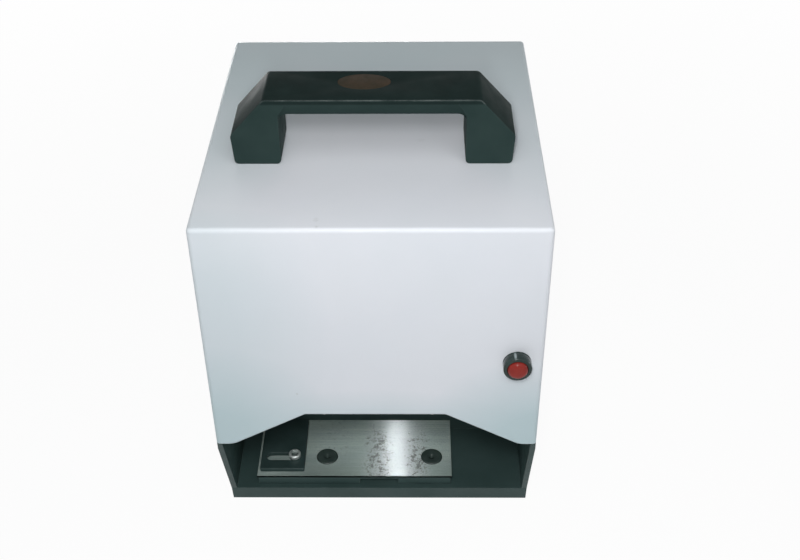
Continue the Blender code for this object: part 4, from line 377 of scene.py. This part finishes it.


# The table in the throat: a black block, and on it a ground steel plate that is
# cut short at the right. A paler stretch along its bright streak is a painted
# highlight, its front is painted darker at both ends as shade, and oil and paper
# dust have left fine spots on both sides of the streak.
coat(housing_coat, "table_block")
table_steel, tree, shader = new_finish("ground_table_steel")
shader.inputs["Metallic"].default_value = 0.25
shader.inputs["Anisotropic"].default_value = 1.0
shader.inputs["Specular IOR Level"].default_value = 0.2
fine_lines = tones(tree, (0.35, 0.44, 0.41), (0.475, 0.57, 0.535), 1500.0, 3.0, (0.012, 1, 1), 0.5)
broad_lines = tones(tree, (0.80, 0.82, 0.83), (1.0, 0.985, 0.97), 95.0, 3.0, (0.22, 0.8, 1), 0.45)
ground = node(tree, "MixRGB", Fac=1.0, Color1=fine_lines, Color2=broad_lines)
ground.blend_type = "MULTIPLY"


def soft_patch(tree, at, size, strength):
    """A soft-rimmed patch round a place on the piece, as strong as asked at its middle."""
    place = node(tree, "TexCoord")
    away = node(tree, "VectorMath", "SUBTRACT", i0=place.outputs["Object"], i1=at)
    shrunk = tuple(1 / reach for reach in size)
    scaled = node(tree, "VectorMath", "MULTIPLY", i0=away.outputs[0], i1=shrunk)
    far = node(tree, "VectorMath", "LENGTH", i0=scaled.outputs[0])
    return stretched(tree, far.outputs["Value"], 1.0, 0.3, to_high=strength)


plate_top = 0.0237
stains_and_painted_light = ground.outputs[0]
# Painted shade: the plate's front is darkened at its left and its right.
for x, strength in ((-0.036, 0.90), (0.058, 0.60)):
    painted_front_shade = soft_patch(tree, (x, -0.112, plate_top), (0.050, 0.048, 0.01), strength)
    stains_and_painted_light = mix_colour(tree, painted_front_shade, stains_and_painted_light, (0.13, 0.175, 0.16))
# Painted highlight: a paler stretch along the plate's bright streak.
painted_streak_highlight = soft_patch(tree, (0.0132, -0.080, plate_top), (0.028, 0.120, 0.01), 0.75)
stains_and_painted_light = mix_colour(tree, painted_streak_highlight, stains_and_painted_light, (0.410, 0.433, 0.452))

thick = 0.0
for x, y, size, strength in (
    (-0.001, -0.074, (0.016, 0.052, 0.01), 0.19), (0.029, -0.074, (0.014, 0.040, 0.01), 0.18),
    (-0.030, -0.050, (0.030, 0.030, 0.01), 0.06),
):
    thick = most_of(tree, thick, soft_patch(tree, (x, y, plate_top), size, strength))
place = node(tree, "TexCoord")
flecks = node(tree, "TexNoise", Vector=place.outputs["Object"], Scale=820.0, Detail=3.0, Roughness=0.65)
clumps = node(tree, "TexNoise", Vector=place.outputs["Object"], Scale=210.0, Detail=2.0, Roughness=0.5)
thick = product(tree, thick, stretched(tree, clumps.outputs["Fac"], 0.38, 0.62, 0.25, 1.35))
specks = node(tree, "Math", "ADD", i0=flecks.outputs["Fac"], i1=thick)
specks = stretched(tree, specks.outputs[0], 0.66, 0.72, to_high=0.62)
stains_and_painted_light = mix_colour(tree, specks, stains_and_painted_light, (0.040, 0.032, 0.026))
tree.links.new(stains_and_painted_light, shader.inputs["Base Color"])

# The grinding: each point of the face leans to the front or the rear by chance,
# and some points are bright and others dull.
across = node(tree, "CombineXYZ", X=0.0, Y=1.0, Z=0.0)
tree.links.new(across.outputs[0], shader.inputs["Tangent"])
scores = node(tree, "TexWhiteNoise", Vector=place.outputs["Object"])
lean_chance, dull_chance = node(tree, "SeparateColor", Color=scores.outputs["Color"]).outputs[:2]
dull = node(tree, "Math", "POWER", i0=dull_chance, i1=3.0)
tree.links.new(stretched(tree, dull.outputs[0], 0.0, 1.0, 0.13, 0.52), shader.inputs["Roughness"])
steepest = 1.6
plain = node(tree, "NewGeometry")
upward = node(tree, "SeparateXYZ", Vector=plain.outputs["Normal"])
lean = product(tree, stretched(tree, lean_chance, 0.0, 1.0, -steepest, steepest), upward.outputs["Z"])
flank = node(tree, "CombineXYZ", X=0.0, Y=lean, Z=0.0)
grooved = node(tree, "VectorMath", "ADD", i0=plain.outputs["Normal"], i1=flank.outputs[0])
groove_normal = node(tree, "VectorMath", "NORMALIZE", i0=grooved.outputs[0])
tree.links.new(groove_normal.outputs[0], shader.inputs["Normal"])
coat(table_steel, "table_plate")


# Two black plastic discs are let into the table under the drills. They are
# turned from a hard, glossy plastic, dished where the drill lands.
pad_plastic = finish(
    "pad_plastic", ((0.034, 0.052, 0.047), (0.046, 0.066, 0.060)), (0.10, 0.15), cloud=120.0, grain=2200.0,
    height=0.00003,
)
pad_profile = [
    (0, 0.0220), (0.0004, 0.0222), (0.0022, 0.02385), (0.0026, 0.0241), (0.0031, 0.0243), (0.0038, 0.0245),
    (0.0068, 0.0245), (0.0074, 0.02443), (0.0078, 0.0242), (0.00795, 0.0239), (0.0080, 0.0236),
    (0.0080, 0.0182), (0, 0.0182),
]
hole_line = -0.072836
for side, x in (("left", -0.04), ("right", 0.04)):
    pad = turned(f"drill_pad_{side}", pad_profile, (x, hole_line, 0), "up", 64, pad_plastic)
    stand_in_place(pad, "base", "pad_plastic", f"pad_{side}")


# The side guide is a flat black moulding that lies on the plate's left end.
# A slot lets it slide, and a bright socket screw clamps it.
def slab(name, loops, low, high, rounding, material, lay="flat"):
    """A flat piece cut to an outline with holes, its edges rounded, lying flat or standing across."""
    drawing = bpy.data.curves.new(name, "CURVE")
    drawing.dimensions = "2D"
    drawing.fill_mode = "BOTH"
    drawing.extrude = (high - low) / 2 - rounding
    drawing.bevel_depth = rounding
    drawing.bevel_resolution = 3
    drawing.offset = -rounding
    for loop in loops:
        line = drawing.splines.new("POLY")
        line.points.add(len(loop) - 1)
        line.use_cyclic_u = True
        for point, (x, y) in zip(line.points, loop):
            point.co = (x, y, 0, 1)
    pattern = bpy.data.objects.new(name, drawing)
    bpy.context.collection.objects.link(pattern)
    bpy.context.view_layer.update()
    mesh = bpy.data.meshes.new_from_object(pattern.evaluated_get(bpy.context.evaluated_depsgraph_get()))
    bpy.data.objects.remove(pattern)
    shape = bmesh.new()
    shape.from_mesh(mesh)
    bmesh.ops.remove_doubles(shape, verts=shape.verts, dist=weld_reach)
    bmesh.ops.translate(shape, vec=(0, 0, (low + high) / 2), verts=shape.verts)
    if lay == "across":
        standing = Matrix(((1, 0, 0, 0), (0, 0, 1, 0), (0, 1, 0, 0), (0, 0, 0, 1)))
        bmesh.ops.transform(shape, matrix=standing, verts=shape.verts)
    return into_piece(name, shape, material)


def rounded_corners(corners, radii, steps):
    """An outline with its corners rounded to the given radii."""
    outline = []
    for k, (corner, radius) in enumerate(zip(corners, radii)):
        here = Vector(corner)
        before = (Vector(corners[k - 1]) - here).normalized()
        after = (Vector(corners[(k + 1) % len(corners)]) - here).normalized()
        half = before.angle(after) / 2
        reach = radius / math.tan(half)
        middle = here + (before + after).normalized() * (radius / math.sin(half))
        start = here + before * reach - middle
        end = here + after * reach - middle
        sweep = start.angle_signed(end)
        for i in range(steps + 1):
            turn = Matrix.Rotation(-sweep * i / steps, 2)
            outline.append(tuple(middle + turn @ start))
    return outline


def rounded_box(left, right, front, rear, radius, steps):
    """The outline of a rectangle with rounded corners."""
    return rounded_corners([(left, front), (right, front), (right, rear), (left, rear)], [radius] * 4, steps)


guide_plastic = finish(
    "guide_plastic", ((0.024, 0.044, 0.042), (0.034, 0.058, 0.056)), (0.32, 0.46), cloud=60.0, grain=1700.0,
    height=0.0001, specular=0.2, wear=((0.08, 0.10, 0.095), 0.0009, 0.6),
)
guide_outline = rounded_box(-0.0901, -0.0565, -0.088936, -0.036436, 0.0012, 5)
slot_outline = rounded_box(-0.0859, -0.0607, -0.079986, -0.072486, 0.00374, 8)
side_guide = slab("side_guide_moulding", [guide_outline, slot_outline], 0.0240, 0.0275, 0.0005, guide_plastic)
stand_in_place(side_guide, "guide", "black_plastic", "side_guide")

screw_chrome = finish(
    "clamp_screw_steel", ((0.60, 0.66, 0.64), (0.72, 0.77, 0.75)), (0.34, 0.44), 0.65, cloud=300.0,
    grain=4200.0, height=0.00002, rounding=0.0002,
)
socket_shade = finish(
    "socket_steel", ((0.06, 0.08, 0.075), (0.10, 0.12, 0.115)), (0.5, 0.6), 0.5, cloud=300.0, grain=3000.0,
    height=0.00002, rounding=0.0001,
)
clamp_x, clamp_y = -0.06445, -0.076236
clamp_profile = [
    (0, 0.0312), (0.0037, 0.0312), (0.0040, 0.0311), (0.0043, 0.0309), (0.00445, 0.0307), (0.0045, 0.0304),
    (0.0045, 0.0281), (0.0043, 0.0278), (0.0025, 0.0278), (0.0025, 0.0182), (0, 0.0182),
]
clamp_screw = turned("guide_clamp_socket_screw", clamp_profile, (clamp_x, clamp_y, 0), "up", 60, screw_chrome)
socket_radius, socket_floor = 0.0034, 0.0288
sixths = [math.radians(60 * k) for k in range(6)]
hexagon = [(socket_radius * math.cos(a) + clamp_x, socket_radius * math.sin(a) + clamp_y) for a in sixths]
cut_away(clamp_screw, slab("socket", [hexagon], socket_floor, 0.0340, 0.0, socket_shade))
clamp_screw.data.materials.append(socket_shade)
for face in clamp_screw.data.polygons:
    from_axis = math.hypot(face.center.x - clamp_x, face.center.y - clamp_y)
    above_floor = face.center.z - socket_floor
    if from_axis < socket_radius + 0.0002 and -0.0003 < above_floor < 0.0017:
        face.material_index = 1
stand_in_place(clamp_screw, "clamp", "bright_steel", "guide_clamp_screw")


# The cover: white sheet steel, folded at its corners and powder coated. It
# hangs over the housing's shoulder, and is smudged here and there by hands.
cover_coat, tree, shader = new_finish("cover_powder_coat")
shader.inputs["Specular IOR Level"].default_value = 0.4
white_tone = tones(tree, (0.705, 0.735, 0.785), (0.745, 0.765, 0.810), 7.0, 3.0)
dusty = tones(tree, 0.0, 0.10, 38.0, 5.0, (1, 1, 0.6), 0.5)
white_tone = mix_colour(tree, dusty, white_tone, (0.60, 0.66, 0.66))
cover_front, cover_rear, cover_side, cover_top = -0.1244, 0.1305, 0.1117, 0.2728

# Painted shade toward the lower edge all round and up the front's left side, and
# a greener painted shade toward the rear and the sides of the top.
for at, size, strength in (
    ((-0.112, cover_front, 0.096), (0.090, 0.03, 0.085), 0.75),
    ((0.112, cover_front, 0.096), (0.085, 0.03, 0.075), 0.80),
    ((0.0, cover_front, 0.112), (0.10, 0.03, 0.030), 0.40),
    ((-0.112, cover_front, 0.20), (0.085, 0.03, 0.14), 0.34),
    ((0.0, cover_rear, 0.086), (0.20, 0.05, 0.060), 0.40),
    ((-cover_side, 0.0, 0.086), (0.03, 0.20, 0.050), 0.40),
    ((cover_side, 0.0, 0.086), (0.03, 0.20, 0.050), 0.40),
):
    white_tone = mix_colour(tree, soft_patch(tree, at, size, strength), white_tone, (0.44, 0.58, 0.61))
for x, y, size, strength in (
    (0.0, 0.135, (0.20, 0.150, 0.02), 0.46), (-0.112, 0.03, (0.070, 0.17, 0.02), 0.34),
    (0.112, 0.03, (0.060, 0.15, 0.02), 0.26),
):
    # Painted shade: a teal tone toward the rear and the sides of the top.
    painted_teal_shade = soft_patch(tree, (x, y, cover_top), size, strength)
    white_tone = mix_colour(tree, painted_teal_shade, white_tone, (0.44, 0.61, 0.62))

# Small uneven smudges, and painted shade along the folds, darker than the white.
for at, size, strength in (
    ((-0.0332, -0.1140, cover_top), (0.0022, 0.0028, 0.002), 0.28),
    ((-0.0326, -0.1215, cover_top), (0.0016, 0.0018, 0.002), 0.3),
    ((-0.0523, cover_front, 0.1378), (0.0011, 0.002, 0.0011), 0.5),
    ((0.031, -0.02, cover_top), (0.004, 0.003, 0.002), 0.14),
    ((0.085, cover_rear, 0.20), (0.003, 0.002, 0.002), 0.25),
    ((cover_side, 0.03, 0.17), (0.002, 0.0015, 0.004), 0.3),
):
    smudge = product(tree, soft_patch(tree, at, size, strength), tones(tree, 0.25, 1.0, 700.0, 3.0))
    white_tone = mix_colour(tree, smudge, white_tone, (0.36, 0.38, 0.37))
# Painted shade: the folds are painted darker to dim their highlight.
white_tone = mix_colour(tree, edge_wear_and_painted_light(tree, 0.0016, 0.35), white_tone, (0.50, 0.56, 0.56))
tree.links.new(white_tone, shader.inputs["Base Color"])
tree.links.new(tones(tree, 0.405, 0.435, 60.0, 4.0), shader.inputs["Roughness"])
grained_surface(tree, shader, 620.0, 0.00010, 0.0012, strength=0.22)
coat(cover_coat, "cover")


# Pan-head screws with cross recesses hold the cover to the housing's skirt,
# two on each side. They are zinc plated.
cover_screw_profile = [
    (0, 0.0024), (0.0012, 0.00238), (0.0023, 0.0022), (0.0030, 0.0018), (0.0035, 0.0012), (0.0037, 0.0006),
    (0.0037, 0.0), (0.0017, 0.0), (0.0017, -0.0075), (0, -0.0075),
]
head_seat, head_face, cover_screw_z = 0.11195, 0.11435, 0.1028
for end, y in (("front", -0.084436), ("rear", 0.080564)):
    for side, sign in (("left", -1), ("right", 1)):
        at = (sign * head_seat, y, cover_screw_z)
        cover_screw = turned(f"cover_pan_screw_{side}_{end}", cover_screw_profile, at, side, 40, screw_zinc)
        recess = cross_recess((sign * head_face, y, cover_screw_z), side, 0.0040, 0.0013)
        cut_away(cover_screw, *recess)
        stand_in_place(cover_screw, "base", "bright_steel", f"cover_screw_{side}_{end}")


# The carrying handle is one black moulding. Its bar leans in under an upright
# edge, and a plain oval plate of dull bronze is let into its top.
top, foot_z, shoulder_z, underside = 0.3195, 0.2731, 0.2941, 0.3082
front_y, rear_y = -0.050036, -0.010236
opening_half, wedge_half = 0.060, 0.0545
plate_x, plate_y = -0.0056, -0.0248
handle_plastic = finish(
    "handle_plastic", ((0.022, 0.039, 0.037), (0.029, 0.049, 0.046)), (0.40, 0.52), cloud=28.0, grain=1500.0,
    height=0.0001, specular=0.01, wear=((0.075, 0.098, 0.094), 0.0019, 0.25),
)
tree = handle_plastic.node_tree
shader = tree.nodes["Principled BSDF"]
# Painted shade: faces that look up, and the band along the top, are painted darker.
surface = node(tree, "NewGeometry")
upward = node(tree, "SeparateXYZ", Vector=surface.outputs["Normal"])
upward_share = stretched(tree, upward.outputs["Z"], 0.35, 0.65, to_high=0.9)
place = node(tree, "TexCoord")
height = node(tree, "SeparateXYZ", Vector=place.outputs["Object"])
upper_edge = stretched(tree, height.outputs["Z"], top - 0.0037, top - 0.0025, to_high=0.8)
painted_top_shade = product(tree, most_of(tree, upward_share, upper_edge), tones(tree, 0.8, 1.0, 60.0))
plastic = shader.inputs["Base Color"].links[0].from_socket
plastic = mix_colour(tree, painted_top_shade, plastic, (0.010, 0.018, 0.017))
# Painted highlight: a pale line along the top edges, kept off the oval plate.
wear_and_painted_light_share = product(tree, edge_wear_and_painted_light(tree, 0.0019, 0.9), upper_edge)
round_plate = soft_patch(tree, (plate_x, plate_y, top), (0.036, 0.022, 0.01), 1.4)
wear_and_painted_light_share = node(tree, "Math", "SUBTRACT", i0=wear_and_painted_light_share, i1=round_plate)
wear_and_painted_light_share.use_clamp = True
tree.links.new(mix_colour(tree, wear_and_painted_light_share.outputs[0], plastic, (0.17, 0.20, 0.195)), shader.inputs["Base Color"])

handle_outline = rounded_corners(
    [
        (-0.0903, foot_z), (-0.0917, shoulder_z), (-0.0690, top), (0.0690, top), (0.0917, shoulder_z),
        (0.0903, foot_z), (opening_half, foot_z), (opening_half, underside), (-opening_half, underside),
        (-opening_half, foot_z),
    ],
    [0.003, 0.004, 0.004, 0.004, 0.004, 0.003, 0.003, 0.006, 0.006, 0.003], 8,
)
handle = slab("carrying_handle_moulding", [handle_outline], front_y, rear_y, 0.0, handle_plastic, "across")
face_low = top - 0.0028
drop = face_low - underside
lean = math.atan2(0.0030, drop)
wedge_outline = [
    (-opening_half, face_low - 2 * drop), (opening_half, face_low - 2 * drop),
    (opening_half, face_low - drop), (wedge_half, face_low), (-wedge_half, face_low),
    (-opening_half, face_low - drop),
]
cutters = []
for face_y, way in ((front_y, -1), (rear_y, 1)):
    near, far = sorted((face_y, face_y + way * 0.02))
    wedge = slab("bar_wedge", [wedge_outline], near, far, 0.0, handle_plastic, "across")
    hinge = Matrix.Translation((0, face_y, face_low))
    wedge.data.transform(hinge @ Matrix.Rotation(-way * lean, 4, "X") @ hinge.inverted())
    cutters.append(wedge)


def plate_oval(half_width, half_depth):
    """The outline of the oval plate, or of its seat."""
    angles = [2 * math.pi * i / 72 for i in range(72)]
    return [(plate_x + half_width * math.cos(a), plate_y + half_depth * math.sin(a)) for a in angles]


seat_outline = plate_oval(0.0175, 0.0107)
cutters.append(slab("plate_seat", [seat_outline], top - 0.0006, top + 0.002, 0.0, handle_plastic))
cut_away(handle, *cutters)
edge_angle = 28
softened = handle.modifiers.new("softened", "BEVEL")
softened.width = 0.0008
softened.segments = 3
softened.limit_method = "ANGLE"
softened.angle_limit = math.radians(edge_angle)
softened.harden_normals = False
settle(handle)
smooth_between_edges(handle, edge_angle)
stand_in_place(handle, "base", "black_plastic", "handle")

oval_bronze = finish(
    "oval_plate_bronze", ((0.036, 0.030, 0.020), (0.050, 0.036, 0.024)), (0.40, 0.52), cloud=120.0,
    grain=1900.0, height=0.00006, specular=0.03, rounding=0.0002,
)
oval_plate = slab(
    "blank_oval_plate", [plate_oval(0.0172, 0.0104)], top - 0.00058, top - 0.00012, 0.00012, oval_bronze,
)
stand_in_place(oval_plate, "base", "black_plastic")


# The start button: a black bezel whose barrel passes through the cover, and in
# it a red cap of clear-coated plastic, a little crowned. A painted glint runs
# along the bezel's top.
bezel_plastic = finish(
    "bezel_plastic", ((0.012, 0.024, 0.021), (0.020, 0.036, 0.032)), (0.10, 0.16), cloud=150.0, grain=2000.0,
    height=0.00002, specular=0.3,
)
tree = bezel_plastic.node_tree
shader = tree.nodes["Principled BSDF"]
plastic = shader.inputs["Base Color"].links[0].from_socket
# Painted glint: a thin pale streak along the bezel's top.
painted_glint = soft_patch(tree, (0.0923, -0.1284, 0.1756), (0.0011, 0.0046, 0.003), 0.7)
tree.links.new(mix_colour(tree, painted_glint, plastic, (0.36, 0.42, 0.43)), shader.inputs["Base Color"])
bezel_profile = [
    (0.0068, 0.0073), (0.0069, 0.0076), (0.0071, 0.0078), (0.0088, 0.0078), (0.0091, 0.0077),
    (0.0093, 0.0074), (0.0094, 0.0070), (0.0094, 0.0016), (0.00925, 0.0013), (0.00925, 0.0010),
    (0.0094, 0.0008), (0.0094, 0.0003), (0.0077, 0.0003), (0.0077, -0.021), (0.0068, -0.021),
]
button_at = (0.0941, -0.124436, 0.1663)
bezel = turned("start_button_bezel", bezel_profile, button_at, "ahead", 72, bezel_plastic)
stand_in_place(bezel, "base", "black_plastic", "button_bezel")
cap_red = finish(
    "cap_red", ((0.225, 0.019, 0.014), (0.270, 0.026, 0.018)), (0.11, 0.17), cloud=160.0, grain=1500.0,
    height=0.00002, specular=0.18,
)
cap_profile = [
    (0, 0.01059), (0.0020, 0.01055), (0.0036, 0.0104), (0.0047, 0.01015), (0.0055, 0.0098), (0.0061, 0.0093),
    (0.0065, 0.0086), (0.0067, 0.0078), (0.0067, 0.0070), (0.0066, 0.0066), (0.0066, -0.0054),
    (0.0030, -0.0054), (0.0030, -0.0253), (0, -0.0253),
]
cap = turned("start_button_cap", cap_profile, button_at, "ahead", 64, cap_red)
stand_in_place(cap, "start_button", "red_plastic", "button_cap")
coat(guide_plastic, "button_contact_block", "chip_cup_left", "chip_cup_right")
coat(screw_zinc, "button_nut", "handle_screw_left", "handle_screw_right")


# The rear wall's fittings: a three-pin mains inlet, and a black rocker switch
# in its frame, all moulded from hard plastic.
fitting_plastic = finish(
    "fitting_plastic", ((0.012, 0.013, 0.014), (0.019, 0.020, 0.021)), (0.30, 0.42), cloud=110.0,
    grain=2000.0, height=0.00006, specular=0.45, wear=((0.05, 0.05, 0.05), 0.0007, 0.4),
)
coat(fitting_plastic, "mains_inlet", "switch_frame", "power_rocker")


# Inside the cover: the frame and its posts, the cast carriage that the feed
# screw lowers, the motors, gears, spindles and hollow drills, and the board.
cast_aluminium = finish(
    "cast_aluminium", ((0.42, 0.43, 0.44), (0.55, 0.56, 0.57)), (0.45, 0.62), 1.0, cloud=45.0, grain=700.0,
    height=0.0002, rounding=0.0006,
)
turned_steel = finish(
    "turned_steel", ((0.50, 0.53, 0.53), (0.62, 0.64, 0.64)), (0.28, 0.38), 1.0, cloud=90.0, grain=600.0,
    height=0.000004, rounding=0.0002, stretch=(1, 1, 3),
)
bearing_bronze = finish(
    "bearing_bronze", ((0.42, 0.25, 0.10), (0.58, 0.37, 0.16)), (0.25, 0.42), 1.0, cloud=120.0, grain=1500.0,
    height=0.00005, rounding=0.0003,
)
motor_iron = finish(
    "motor_iron", ((0.13, 0.13, 0.135), (0.20, 0.20, 0.20)), (0.40, 0.60), 0.6, cloud=60.0, grain=1200.0,
    height=0.0001, rounding=0.0006, stretch=(1, 1, 6),
)
board_green = finish(
    "board_green", ((0.012, 0.10, 0.045), (0.025, 0.17, 0.075)), (0.30, 0.45), cloud=140.0, grain=900.0,
    height=0.0001, rounding=0.0003,
)
coat(cast_aluminium, "top_plate", "head_carriage", "head_plate", "limit_switch_rail")
coat(turned_steel, "lead_screw", "screw_gear", "feed_pinion", "drive_pinion")
for side in ("left", "right"):
    coat(turned_steel, f"guide_post_{side}", f"spindle_gear_{side}", f"spindle_{side}", f"hollow_bit_{side}",
         f"bearing_lower_{side}", f"bearing_upper_{side}")
coat(bearing_bronze, "post_bush_left", "post_bush_right", "screw_nut", "screw_bearing")
coat(motor_iron, "tool_motor", "feed_motor", "transformer")
coat(board_green, "control_board")
